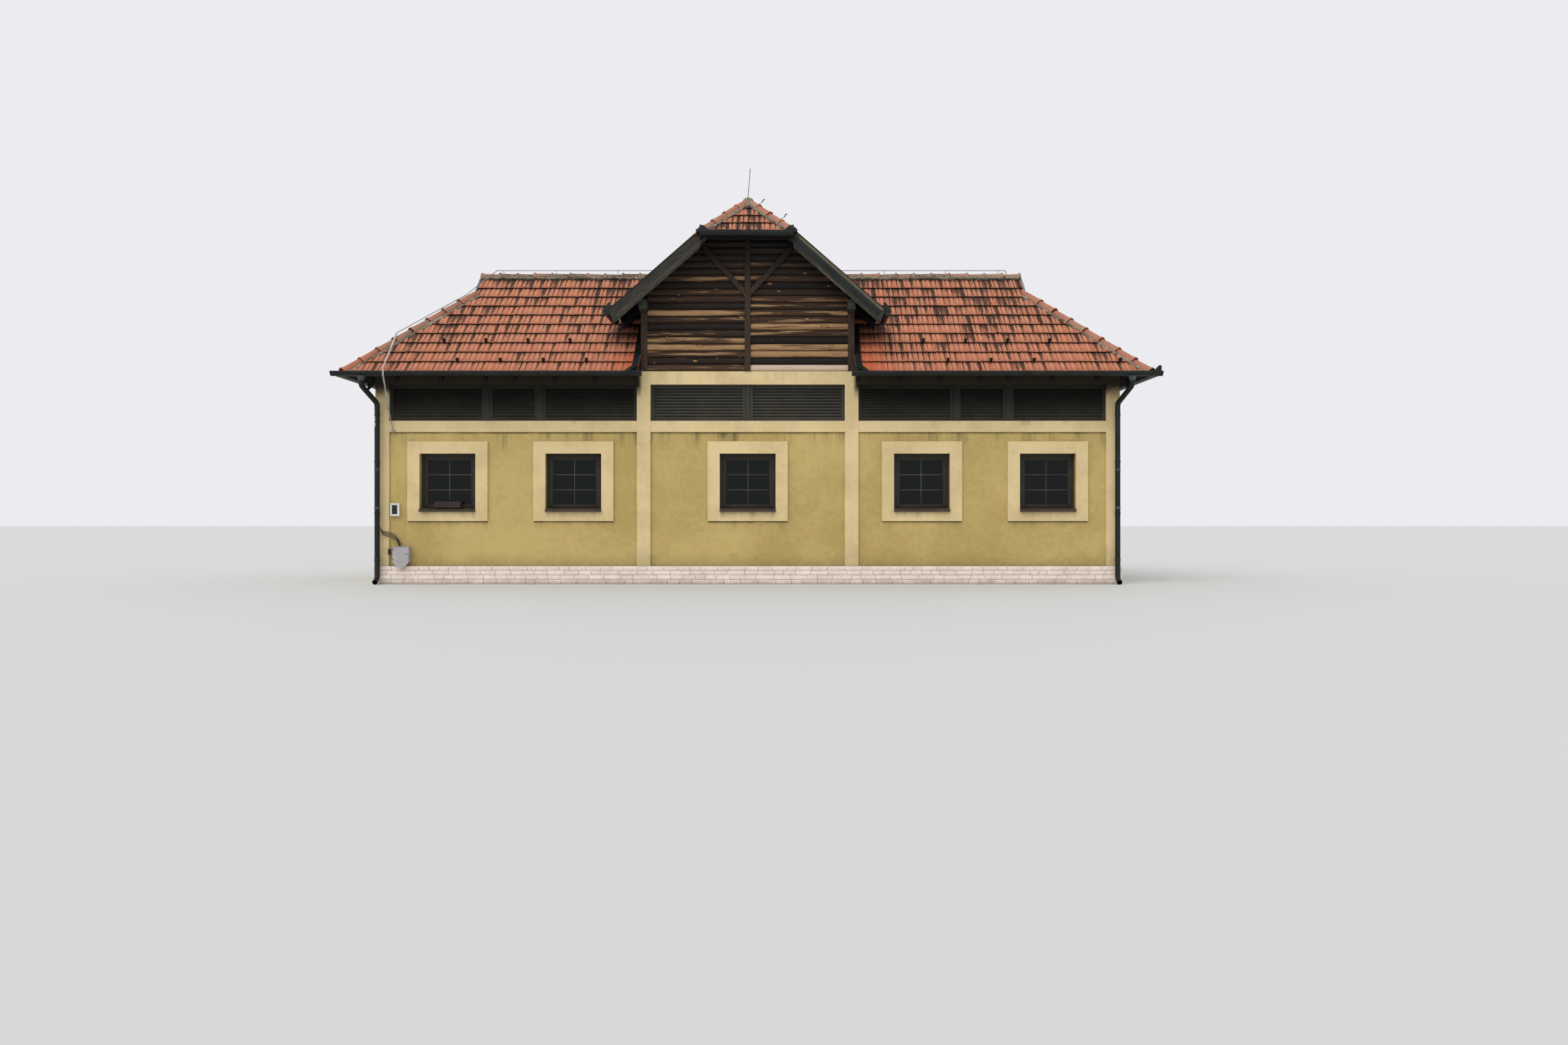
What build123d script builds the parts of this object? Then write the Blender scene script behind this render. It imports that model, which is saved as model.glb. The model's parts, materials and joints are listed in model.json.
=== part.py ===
from build123d import *
import math
import os

# Railway station building, millimetres. +X runs along the facade, the front faces -Y, +Z is up.
# The origin is on the ground under the middle of the building.

# Clearance of a piece that only rests on its seat
seat_gap = 0.3

# How far a cutting shape reaches past the piece it cuts
cut_reach = 200.0
cut_lap = 1.0

# Outline of the masonry
wall_length = 15960.0
wall_depth = 5200.0
wall_thickness = 330.0
pilaster_width = 290.0
pilaster_projection = 50.0
inner_pilaster_x = 2230.0
plinth_height = 390.0
plinth_projection = 40.0
floor_thickness = 200.0

# Heights of the storey above the ground
band_bottom = 3260.0
band_height = 240.0
band_projection = 40.0
louvre_height = 780.0
beam_height = 280.0
wall_plate_height = 140.0
wall_plate_width = 160.0

# Windows and their plaster surrounds
window_width = 1200.0
window_height = 1250.0
window_bottom = 1550.0
surround_side = 260.0
surround_top = 260.0
surround_bottom = 200.0
surround_projection = 45.0
window_setback = 110.0
frame_width = 65.0
frame_depth = 80.0
sash_width = 62.0
sash_depth = 55.0
sash_setback = 15.0
pane_thickness = 24.0
sill_height = 90.0
sill_fall = 35.0
sill_projection = 60.0
sill_side_clearance = 4.0
bay_window_spread = 2700.0
bay_window_middle = 5090.0

# Door at the back and its step
door_width = 1000.0
door_height = 2100.0
door_leaf_thickness = 50.0
door_setback = 120.0
step_rise = 130.0
step_tread = 280.0
step_width = 1500.0

# Louvre panels
louvre_setback = 20.0
louvre_thickness = 45.0
slat_pitch = 69.0
louvre_post_width = 90.0
louvre_post_projection = 12.0
side_louvre_narrow = 1050.0

# Main roof
front_overhang = 530.0
end_overhang = 515.0
main_pitch = 40.3
end_pitch = 44.7
gablet_setback = 1610.0
covering_thickness = 95.0
gablet_wall_thickness = 60.0
gablet_recess = 40.0

# Roof timbers
rafter_width = 90.0
rafter_depth = 140.0
rafter_setback = 60.0
bay_rafters = (2345.0, 3210.0, 4065.0, 4920.0, 5520.0, 6450.0, 7400.0, 7930.0)
end_rafter_spacing = 880.0
end_rafter_steps = (-2, -1, 0, 1, 2)

# Cross roof with its half hips
cross_ridge_height = 8315.0
cross_pitch = 41.2
cross_eave_x = 2850.0
cross_overhang = 490.0
cross_half_width = 2290.0
half_hip_eave_x = 980.0
half_hip_pitch = 46.0
cross_rafter_spacing = 900.0

# Timber gable
siding_pitch = 148.0
siding_bulge = 45.0
siding_backing = 70.0
post_size = 140.0
post_relief = 5.0
middle_post_width = 125.0
middle_post_relief = 25.0
brace_width = 110.0
brace_relief = 45.0
brace_top_x = 950.0
brace_drop = 950.0
purlin_width = 165.0
purlin_height = 205.0
purlin_projection = 420.0
cheek_end_y = 1395.0
barge_depth = 290.0
barge_thickness = 35.0
barge_rise = 15.0
barge_end_x = 2905.0
barge_end_slant = 110.0
half_hip_board_drop = 174.0
flashing_thickness = 12.0
flashing_lip = 10.0

# Ridge and hip covers
cover_radius = 115.0
cover_sink = 58.0
half_hip_cover_start = 69.0
verge_strip_inside = 25.0
verge_strip_outside = 14.0
verge_strip_rise = 30.0

# Gutters and downpipes
gutter_radius = 95.0
gutter_wall = 4.0
gutter_drop = 12.0
cross_gutter_drop = 45.0
half_hip_gutter_drop = 62.0
gutter_clearance = 0.3
gutter_lap = 90.0
cross_gutter_end_gap = 285.0
pipe_radius = 55.0
pipe_wall = 4.0
pipe_standoff = 25.0
pipe_bend_radius = 120.0
pipe_outlet_x = 8060.0
pipe_x = 7900.0
pipe_neck_top = 4190.0
pipe_neck_bottom = 3860.0
pipe_foot = 130.0
shoe_reach = 150.0
shoe_fall = 82.5
pipe_bracket_heights = (500.0, 1500.0, 2600.0, 3600.0)
bracket_height = 35.0
bracket_thickness = 6.0
bracket_arm_width = 16.0

# Lightning protection
rod_radius = 10.0
rod_height = 690.0
rod_lean = 45.0
rod_foot_gap = 0.9
wire_radius = 9.0
wire_lift = 140.0
wire_holder_radius = 7.0
wire_holder_places = (3150.0, 4600.0, 5850.0)
wire_ridge_end = 6010.0
wire_hip_top = 0.07
wire_hip_top_lift = 105.0
wire_hip_foot = 0.61
wire_hip_foot_lift = 150.0
wire_eave_x = 7567.0
wire_eave_lift = 60.0
wire_gutter_gap = 2.0
wire_gutter_foot = 90.0
wire_wall_gap = 25.0
wire_clamp_x = 7687.0
wire_clamp_height = 3775.0
wire_foot_x = 7600.0
wire_foot = 3290.0

# Fittings on the front wall
cabinet_x = -7408.0
cabinet_bottom = 478.0
cabinet_width = 346.0
cabinet_height = 325.0
cabinet_depth = 160.0
cabinet_foot_height = 150.0
cabinet_foot_width = 90.0
cabinet_foot_depth = 120.0
box_x = -7560.0
box_bottom = 1460.0
box_width = 190.0
box_height = 270.0
box_depth = 70.0
planter_length = 560.0
planter_height = 130.0
planter_depth = 130.0
planter_inset = 90.0

# Heights and planes that follow from the sizes above
half_length = wall_length / 2
half_depth = wall_depth / 2
panel_x = half_length - pilaster_projection
panel_y = half_depth - pilaster_projection
inner_x = panel_x - wall_thickness
inner_y = panel_y - wall_thickness
band_top = band_bottom + band_height
louvre_top = band_top + louvre_height
beam_top = louvre_top + beam_height
plate_top = beam_top + wall_plate_height
plate_x = half_length - pilaster_projection
plate_y = half_depth - pilaster_projection
main_slope = math.tan(math.radians(main_pitch))
end_slope = math.tan(math.radians(end_pitch))
cross_slope = math.tan(math.radians(cross_pitch))
half_hip_slope = math.tan(math.radians(half_hip_pitch))
eave_x = half_length + end_overhang
eave_y = half_depth + front_overhang
gablet_x = half_length - gablet_setback
rafter_drop_main = covering_thickness + rafter_depth / math.cos(math.radians(main_pitch))
rafter_drop_end = covering_thickness + rafter_depth / math.cos(math.radians(end_pitch))
rafter_drop_cross = covering_thickness + rafter_depth / math.cos(math.radians(cross_pitch))
eave_height = plate_top + rafter_drop_main - (eave_y - plate_y) * main_slope
end_plate_top = eave_height + (eave_x - plate_x) * end_slope - rafter_drop_end
main_ridge_height = eave_height + eave_y * main_slope
gablet_foot_height = eave_height + (eave_x - gablet_x) * end_slope
gablet_half_width = (main_ridge_height - gablet_foot_height) / main_slope
cross_eave_height = cross_ridge_height - cross_eave_x * cross_slope
cross_front_y = half_depth + cross_overhang
half_hip_eave_height = cross_ridge_height - half_hip_eave_x * cross_slope
half_hip_run = half_hip_eave_x * cross_slope / half_hip_slope
half_hip_apex_y = cross_front_y - half_hip_run
bay_windows = (bay_window_middle - bay_window_spread / 2, bay_window_middle + bay_window_spread / 2)
front_window_places = (-bay_windows[1], -bay_windows[0], 0.0, bay_windows[0], bay_windows[1])
back_window_places = (-bay_windows[1], -bay_windows[0], bay_windows[0], bay_windows[1])
corner_pilaster_x = half_length - pilaster_width / 2
pilaster_places = (-corner_pilaster_x, -inner_pilaster_x, inner_pilaster_x, corner_pilaster_x)
roof_bottom = plinth_height
roof_top = 2 * cross_ridge_height
cover_rise = cover_radius - cover_sink
siding_count = int((cross_ridge_height - beam_top) // siding_pitch) + 1
gutter_out = gutter_radius + gutter_clearance


def block(x0, x1, y0, y1, z0, z1):
    """A box between two corners."""
    corner = (Align.MIN, Align.MIN, Align.MIN)
    place = Pos(min(x0, x1), min(y0, y1), min(z0, z1))
    return place * Box(abs(x1 - x0), abs(y1 - y0), abs(z1 - z0), align=corner)


def prism_x(points, x0, x1):
    """A (y, z) outline extruded from x0 to x1."""
    outline = make_face(Polyline(*[(x0, y, z) for y, z in points], close=True))
    return extrude(outline, amount=x1 - x0, dir=(1, 0, 0))


def prism_y(points, y0, y1):
    """An (x, z) outline extruded from y0 to y1."""
    outline = make_face(Polyline(*[(x, y0, z) for x, z in points], close=True))
    return extrude(outline, amount=y1 - y0, dir=(0, 1, 0))


def prism_z(points, z0, z1):
    """An (x, y) outline extruded from z0 to z1."""
    outline = make_face(Polyline(*[(x, y, z0) for x, y in points], close=True))
    return extrude(outline, amount=z1 - z0, dir=(0, 0, 1))


def bar(start, end, radius):
    """A round bar between two points."""
    a = Vector(*start)
    b = Vector(*end)
    plane = Plane(origin=a, z_dir=b - a)
    return extrude(plane * Circle(radius), amount=(b - a).length)


def to_back(shapes):
    """The same pieces turned half round the middle of the building."""
    return [Rot(0, 0, 180) * shape for shape in shapes]


def both_sides(shapes):
    """Pieces on the +X side and their mirror images."""
    return list(shapes) + [mirror(shape, about=Plane.YZ) for shape in shapes]


def solids_of(shapes):
    """Every solid in a list of shapes."""
    found = []
    for shape in shapes:
        found.extend(shape.solids())
    return found


def write(node, shapes):
    """Write one node's solids to its STEP file."""
    solids = solids_of(shapes)
    whole = solids[0] if len(solids) == 1 else Compound(children=solids)
    export_step(whole, "parts/" + node + ".step")


# Masonry

def plinth():
    """The stone plinth, a ring with its inner edge under the walls."""
    out_x = half_length + plinth_projection
    out_y = half_depth + plinth_projection
    outer = block(-out_x, out_x, -out_y, out_y, 0, plinth_height)
    inner = block(-inner_x, inner_x, -inner_y, inner_y, 0, plinth_height)
    return [outer - inner]


def floor_slab():
    """The floor inside the plinth, its top level with it."""
    return [block(-inner_x, inner_x, -inner_y, inner_y, plinth_height - floor_thickness, plinth_height)]


def window_hole(x):
    """The opening of a front window at x, through the front wall."""
    half = window_width / 2
    top = window_bottom + window_height
    return block(x - half, x + half, -half_depth - cut_reach, -inner_y + cut_reach, window_bottom, top)


def long_wall_bay(x0, x1, window_places):
    """One bay of the front wall up to the top of the band, with its windows cut through."""
    wall = block(x0, x1, -panel_y, -inner_y, plinth_height, band_top)
    for x in window_places:
        wall = wall - window_hole(x)
    return wall


def front_wall_bay(side):
    """A bay of the front wall: -1 left, 0 middle, 1 right."""
    if side == 0:
        return [long_wall_bay(-inner_pilaster_x, inner_pilaster_x, (0.0,))]
    bay = long_wall_bay(inner_pilaster_x, panel_x, bay_windows)
    return [bay] if side > 0 else [mirror(bay, about=Plane.YZ)]


def back_wall_middle():
    """The middle bay of the back wall: the two walls beside the doorway, and the wall over it."""
    half = door_width / 2
    head = plinth_height + door_height
    left = block(-inner_pilaster_x, -half, inner_y, panel_y, plinth_height, head)
    right = block(half, inner_pilaster_x, inner_y, panel_y, plinth_height, head)
    return [left, right], [block(-inner_pilaster_x, inner_pilaster_x, inner_y, panel_y, head, band_top)]


def end_wall():
    """The wall of the +X end between the long walls, with its window."""
    wall = block(inner_x, panel_x, -inner_y, inner_y, plinth_height, band_top)
    half = window_width / 2
    hole = block(inner_x - cut_reach, panel_x + cut_reach, -half, half,
                 window_bottom, window_bottom + window_height)
    return wall - hole


def upper_posts():
    """Masonry posts between the louvre panels: four corners and two in each long wall."""
    corner = block(half_length - pilaster_width, panel_x, -panel_y, -half_depth + pilaster_width,
                   band_top, louvre_top)
    half = pilaster_width / 2
    middle = block(inner_pilaster_x - half, inner_pilaster_x + half, -panel_y, -inner_y, band_top, louvre_top)
    front = both_sides([corner, middle])
    return front + to_back(front)


def ring_beam():
    """The beam on top of the walls, flush with the pilasters."""
    outer = block(-half_length, half_length, -half_depth, half_depth, louvre_top, beam_top)
    inner = block(-inner_x, inner_x, -inner_y, inner_y, louvre_top, beam_top)
    return [outer - inner]


# Cream plaster work

def front_pilasters():
    """The four pilasters of the front, from the plinth to the beam."""
    half = pilaster_width / 2
    strips = []
    for x in pilaster_places:
        strips.append(block(x - half, x + half, -half_depth, -panel_y, plinth_height, louvre_top))
    return strips


def end_pilasters():
    """The two pilasters of each end, which turn the corners."""
    strip = block(panel_x, half_length, -panel_y, -half_depth + pilaster_width, plinth_height, louvre_top)
    front = both_sides([strip])
    return front + to_back(front)


def front_bands():
    """The cream band over the front windows, between the pilasters."""
    half = pilaster_width / 2
    front = -panel_y - band_projection
    side_end = half_length - pilaster_width
    side = block(inner_pilaster_x + half, side_end, front, -panel_y, band_bottom, band_top)
    middle = block(half - inner_pilaster_x, inner_pilaster_x - half, front, -panel_y, band_bottom, band_top)
    return both_sides([side]) + [middle]


def end_bands():
    """The cream band of each end."""
    reach = half_depth - pilaster_width
    band = block(panel_x, panel_x + band_projection, -reach, reach, band_bottom, band_top)
    return both_sides([band])


def front_surround(x):
    """The raised plaster frame round a front window."""
    half = window_width / 2
    top = window_bottom + window_height
    face = -panel_y - surround_projection
    outer = block(x - half - surround_side, x + half + surround_side, face, -panel_y,
                  window_bottom - surround_bottom, top + surround_top)
    return outer - window_hole(x)


def door_surround():
    """The raised plaster frame round the back door."""
    half = door_width / 2
    head = plinth_height + door_height
    face = panel_y + surround_projection
    outer = block(-half - surround_side, half + surround_side, panel_y, face,
                  plinth_height, head + surround_top)
    return outer - block(-half, half, panel_y - cut_lap, face + cut_lap, plinth_height - cut_lap, head)


def to_end(shape):
    """A piece of the front wall's middle turned onto the +X end wall."""
    return Pos(panel_x - panel_y, 0, 0) * (Rot(0, 0, 90) * shape)


# Windows

def window_frame(x):
    """The fixed outer frame of a window."""
    half = window_width / 2
    front = -panel_y + window_setback
    top = window_bottom + window_height
    outer = block(x - half, x + half, front, front + frame_depth, window_bottom, top)
    inner = half - frame_width
    return outer - block(x - inner, x + inner, front - cut_lap, front + frame_depth + cut_lap,
                         window_bottom + sill_height, top - frame_width)


def window_sash(x):
    """The sash inside the frame."""
    half = window_width / 2 - frame_width
    front = -panel_y + window_setback + sash_setback
    low = window_bottom + sill_height
    high = window_bottom + window_height - frame_width
    outer = block(x - half, x + half, front, front + sash_depth, low, high)
    inner = half - sash_width
    return outer - block(x - inner, x + inner, front - cut_lap, front + sash_depth + cut_lap,
                         low + sash_width, high - sash_width)


def window_pane(x):
    """The glass of a window, held by its sash."""
    half = window_width / 2 - frame_width - sash_width
    middle = -panel_y + window_setback + sash_setback + sash_depth / 2
    low = window_bottom + sill_height + sash_width
    high = window_bottom + window_height - frame_width - sash_width
    return block(x - half, x + half, middle - pane_thickness / 2, middle + pane_thickness / 2, low, high)


def window_sill(x):
    """The sloping outer sill, from the frame out past the surround."""
    half = window_width / 2 - sill_side_clearance
    back = -panel_y + window_setback
    front = -panel_y - surround_projection - sill_projection
    low = window_bottom
    outline = [(back, low), (front, low), (front, low + sill_height - sill_fall), (back, low + sill_height)]
    return prism_x(outline, x - half, x + half)


def back_door():
    """The plain door in the back wall, with its frame."""
    half = door_width / 2
    head = plinth_height + door_height
    face = panel_y - door_setback
    frame = block(-half, half, face - frame_depth, face, plinth_height, head)
    inner = block(-half + frame_width, half - frame_width, face - frame_depth - cut_lap, face + cut_lap,
                  plinth_height - cut_lap, head - frame_width)
    leaf_face = face - sash_setback
    leaf = block(-half + frame_width, half - frame_width, leaf_face - door_leaf_thickness, leaf_face,
                 plinth_height, head - frame_width)
    return [frame - inner], [leaf]


def back_steps():
    """Two stone steps up to the back door."""
    foot = half_depth + plinth_projection
    half = step_width / 2
    top = plinth_height - step_rise
    outline = [(foot, 0), (foot + 2 * step_tread, 0), (foot + 2 * step_tread, top - step_rise),
               (foot + step_tread, top - step_rise), (foot + step_tread, top), (foot, top)]
    return [prism_x(outline, -half, half)]


# Louvres

def louvre_outline(face, inward):
    """The (depth, z) outline of a louvre panel whose slats slope down and out."""
    count = int(louvre_height // slat_pitch)
    pitch = louvre_height / count
    back = face + inward * louvre_thickness
    points = [(back, band_top)]
    for index in range(count):
        low = band_top + index * pitch
        points.append((face, low))
        points.append((face + inward * louvre_thickness / 2, low + pitch))
    points.append((back, louvre_top))
    return points


def front_louvre_panels():
    """The louvre panels of the front: wide, narrow, wide at each side and two in the middle."""
    face = -panel_y + louvre_setback
    outline = louvre_outline(face, 1)
    half_post = louvre_post_width / 2
    start = inner_pilaster_x + pilaster_width / 2
    end = half_length - pilaster_width
    middle = (start + end) / 2
    narrow = side_louvre_narrow / 2
    spans = [(start, middle - narrow - louvre_post_width), (middle - narrow, middle + narrow),
             (middle + narrow + louvre_post_width, end),
             (half_post, inner_pilaster_x - pilaster_width / 2)]
    return both_sides([prism_x(outline, x0, x1) for x0, x1 in spans])


def front_louvre_posts():
    """The timber posts between the louvre panels of the front."""
    face = -panel_y + louvre_setback - louvre_post_projection
    back = -panel_y + louvre_setback + louvre_thickness
    half_post = louvre_post_width / 2
    middle = (inner_pilaster_x + pilaster_width / 2 + half_length - pilaster_width) / 2
    offset = side_louvre_narrow / 2 + half_post
    posts = []
    for x in (middle - offset, middle + offset):
        posts.append(block(x - half_post, x + half_post, face, back, band_top, louvre_top))
    centre = block(-half_post, half_post, face, back, band_top, louvre_top)
    return both_sides(posts) + [centre]


def end_louvre_panels():
    """Two louvre panels in the +X end."""
    face = panel_x - louvre_setback
    outline = louvre_outline(face, -1)
    reach = half_depth - pilaster_width
    half_post = louvre_post_width / 2
    panels = []
    for y0, y1 in ((-reach, -half_post), (half_post, reach)):
        panels.append(prism_y(outline, y0, y1))
    return both_sides(panels)


def end_louvre_posts():
    """The timber post between the louvre panels of each end."""
    face = panel_x - louvre_setback + louvre_post_projection
    back = panel_x - louvre_setback - louvre_thickness
    half_post = louvre_post_width / 2
    return both_sides([block(back, face, -half_post, half_post, band_top, louvre_top)])


# Roof solids that everything under and over the tiles is cut from

def main_roof_body(drop=0.0):
    """Everything under the main roof's planes, lowered by drop."""
    gable = prism_x([(-eave_y, roof_bottom), (-eave_y, eave_height - drop), (0, main_ridge_height - drop),
                     (eave_y, eave_height - drop), (eave_y, roof_bottom)], -eave_x, eave_x)
    high = roof_top
    ends = prism_y([(-eave_x, roof_bottom), (-eave_x, eave_height - drop),
                    (-gablet_x, gablet_foot_height - drop), (-gablet_x, high), (gablet_x, high),
                    (gablet_x, gablet_foot_height - drop), (eave_x, eave_height - drop),
                    (eave_x, roof_bottom)], -eave_y, eave_y)
    return gable & ends


def cross_roof_body(drop=0.0):
    """Everything under the cross roof's planes, lowered by drop."""
    gable = prism_y([(-cross_eave_x, roof_bottom), (-cross_eave_x, cross_eave_height - drop),
                     (0, cross_ridge_height - drop), (cross_eave_x, cross_eave_height - drop),
                     (cross_eave_x, roof_bottom)], -cross_front_y, cross_front_y)
    high = cross_ridge_height + cut_lap
    hips = prism_x([(-cross_front_y, roof_bottom), (-cross_front_y, half_hip_eave_height - drop),
                    (-half_hip_apex_y, cross_ridge_height - drop), (-half_hip_apex_y, high),
                    (half_hip_apex_y, high), (half_hip_apex_y, cross_ridge_height - drop),
                    (cross_front_y, half_hip_eave_height - drop), (cross_front_y, roof_bottom)],
                   -cross_eave_x, cross_eave_x)
    return gable & hips


main_body = main_roof_body()
main_under = main_roof_body(covering_thickness)
cross_body = cross_roof_body()
cross_under = cross_roof_body(covering_thickness)
cross_reach = eave_y + cut_lap
cross_strip = block(-cross_half_width, cross_half_width, -cross_reach, cross_reach, roof_bottom, roof_top)
behind_gable = block(-cross_half_width, cross_half_width, -half_depth, half_depth, roof_bottom, roof_top)
cross_core = (cross_body & cross_strip) + (cross_strip - behind_gable)


def main_covering():
    """The tiled layer of the main roof, open where the cross roof stands."""
    return main_body - main_under - cross_core


def front_roof_region():
    """The part of the plan that the front plane covers."""
    return prism_z([(-eave_x, -eave_y), (-gablet_x, -gablet_half_width), (-gablet_x, 0), (gablet_x, 0),
                    (gablet_x, -gablet_half_width), (eave_x, -eave_y)], roof_bottom, roof_top)


def end_roof_region():
    """The part of the plan that the +X end plane covers."""
    return prism_z([(eave_x, -eave_y), (eave_x, eave_y), (gablet_x, gablet_half_width),
                    (gablet_x, -gablet_half_width)], roof_bottom, roof_top)


def cross_covering():
    """The tiled layer of the cross roof above the main roof."""
    return cross_body - cross_under - main_body


def cross_slope_region():
    """The part of the plan that the +X slope of the cross roof covers."""
    return prism_z([(0, -half_hip_apex_y), (half_hip_eave_x, -cross_front_y), (cross_eave_x, -cross_front_y),
                    (cross_eave_x, cross_front_y), (half_hip_eave_x, cross_front_y), (0, half_hip_apex_y)],
                   roof_bottom, roof_top)


def half_hip_region():
    """The part of the plan that the front half hip covers."""
    return prism_z([(0, -half_hip_apex_y), (-half_hip_eave_x, -cross_front_y),
                    (half_hip_eave_x, -cross_front_y)], roof_bottom, roof_top)


def gablet_walls():
    """The small upright gables at the ends of the main ridge."""
    outer = gablet_x - gablet_recess
    slab = block(outer - gablet_wall_thickness, outer, -gablet_half_width, gablet_half_width,
                 gablet_foot_height - covering_thickness, main_ridge_height)
    return both_sides([slab & main_under])


# Roof timbers

def wall_plates():
    """Timber plates on the ring beam, under the rafters: the long ones stop at the cross roof."""
    inner = plate_y - wall_plate_width
    long_plate = block(cross_half_width, plate_x, -plate_y, -inner, beam_top, plate_top)
    end_plate = block(plate_x - wall_plate_width, plate_x, -inner, inner, beam_top, end_plate_top)
    back_plate = block(cross_half_width, plate_x, inner, plate_y, beam_top, plate_top)
    return both_sides([long_plate, end_plate, back_plate])


def hip_y_at(x):
    """Where the hip line crosses a rafter at x, as a distance from the middle."""
    share = (eave_x - x) / (eave_x - gablet_x)
    return eave_y - share * (eave_y - gablet_half_width)


def front_rafter(x):
    """A rafter of the front plane, cut off at the hip or the ridge."""
    tail = eave_y - rafter_setback
    inner = 0.0 if x < gablet_x else hip_y_at(x) + rafter_width
    tail_top = eave_height + (eave_y - tail) * main_slope - covering_thickness
    inner_top = eave_height + (eave_y - inner) * main_slope - covering_thickness
    depth = rafter_drop_main - covering_thickness
    outline = [(-tail, tail_top - depth), (-tail, tail_top), (-inner, inner_top), (-inner, inner_top - depth)]
    return prism_x(outline, x - rafter_width / 2, x + rafter_width / 2)


def front_rafters():
    """All rafters of the front plane."""
    return both_sides([front_rafter(x) for x in bay_rafters])


def end_rafter(y):
    """A rafter of the +X end plane, from its tail up to the hip or the gablet."""
    tail = eave_x - rafter_setback
    reach = abs(y) + rafter_width / 2
    share = (eave_y - reach) / (eave_y - gablet_half_width)
    top = max(eave_x - share * (eave_x - gablet_x) + 2 * rafter_width, gablet_x + rafter_width)
    tail_top = eave_height + (eave_x - tail) * end_slope - covering_thickness
    upper_top = eave_height + (eave_x - top) * end_slope - covering_thickness
    depth = rafter_drop_end - covering_thickness
    outline = [(tail, tail_top - depth), (tail, tail_top), (top, upper_top), (top, upper_top - depth)]
    return prism_y(outline, y - rafter_width / 2, y + rafter_width / 2)


def end_rafters():
    """The rafters of both ends."""
    return both_sides([end_rafter(step * end_rafter_spacing) for step in end_rafter_steps])


def cross_rafters():
    """The rafters of the cross roof, as cut by its half hips, clear of both gable walls."""
    space = cross_under - cross_roof_body(rafter_drop_cross)
    clear = half_depth - post_size - rafter_width
    count = int(clear // cross_rafter_spacing)
    places = [index * cross_rafter_spacing for index in range(-count, count + 1)]
    outer = cross_front_y - rafter_width / 2 - barge_thickness
    places = [-outer] + places + [outer]
    rafters = []
    for y in places:
        strip = block(0, cross_eave_x - rafter_setback, y - rafter_width / 2, y + rafter_width / 2,
                      roof_bottom, roof_top)
        rafters.append((space & strip & cross_slope_region()) - main_body)
    return both_sides(rafters)


# Timber gable

def log_edges(place, crown, root, back):
    """The outline of stacked log courses with a flat back, from depths turned into points by place."""
    edges = [Line(place(back, beam_top), place(root, beam_top))]
    for index in range(siding_count):
        low = beam_top + index * siding_pitch
        high = low + siding_pitch
        edges.append(ThreePointArc(place(root, low), place(crown, (low + high) / 2), place(root, high)))
    top = beam_top + siding_count * siding_pitch
    edges.append(Line(place(root, top), place(back, top)))
    edges.append(Line(place(back, top), place(back, beam_top)))
    return edges


def front_point(depth, z):
    """A point of the front siding's outline."""
    return (0, depth, z)


def cheek_point(depth, z):
    """A point of the cheek wall's outline."""
    return (depth, 0, z)


def log_sheet_front():
    """Log courses across the gable, before it is cut to the roof."""
    root = -half_depth + siding_bulge
    reach = cross_half_width - post_size
    face = make_face(log_edges(front_point, -half_depth, root, root + siding_backing))
    return Pos(-reach, 0, 0) * extrude(face, amount=2 * reach, dir=(1, 0, 0))


def gable_siding():
    """The log wall of the front gable, up to the half hip and the rafters, beside the middle post."""
    sheet = log_sheet_front() & cross_under
    half = middle_post_width / 2
    gap = block(-half, half, -half_depth - cut_lap, -inner_y, beam_top - cut_lap, roof_top)
    return [(sheet - gap) - purlin_pair()]


def gable_posts():
    """The corner posts and the middle post of the front gable."""
    purlin_low = purlin_bottom()
    corner = block(cross_half_width - post_size, cross_half_width, -half_depth - post_relief,
                   -half_depth + post_size, beam_top, purlin_low)
    half = middle_post_width / 2
    middle = block(-half, half, -half_depth - middle_post_relief, -half_depth + post_size, beam_top, roof_top)
    middle = middle & cross_under
    return both_sides([corner]) + [middle]


def purlin_bottom():
    """The underside of the purlins that carry the cross rafters."""
    outer = cross_half_width
    return cross_ridge_height - outer * cross_slope - rafter_drop_cross - purlin_height


def cross_purlin():
    """The +X purlin of the cross roof, whose square ends show under the barge boards."""
    low = purlin_bottom()
    reach = half_depth + purlin_projection
    return block(cross_half_width - purlin_width, cross_half_width, -reach, reach, low, low + purlin_height)


def purlin_pair():
    """Both purlins as one shape, for cutting the siding round them."""
    purlin = cross_purlin()
    return purlin + mirror(purlin, about=Plane.YZ)


def gable_braces():
    """The two braces that rise from the middle post to the rafters, on the face of the siding."""
    half = middle_post_width / 2
    top_z = cross_ridge_height - brace_top_x * cross_slope - rafter_drop_cross
    low_z = top_z - brace_drop
    direction = math.hypot(brace_top_x - half, brace_drop)
    across = brace_width * direction / (brace_top_x - half)
    outline = [(half, low_z - across / 2), (half, low_z + across / 2),
               (brace_top_x, top_z + across / 2), (brace_top_x, top_z - across / 2)]
    brace = prism_y(outline, -half_depth - brace_relief, -half_depth) & cross_under
    return both_sides([brace])


def cheek_walls():
    """The log walls at the sides of the cross roof, from the gable back to the main roof."""
    root = cross_half_width - siding_bulge
    start = -half_depth + post_size
    face = make_face(log_edges(cheek_point, cross_half_width, root, root - siding_backing))
    sheet = Pos(0, start, 0) * extrude(face, amount=-cheek_end_y - start, dir=(0, 1, 0))
    return both_sides([sheet & block(0, eave_x, -eave_y, 0, roof_bottom, purlin_bottom())])


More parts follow.
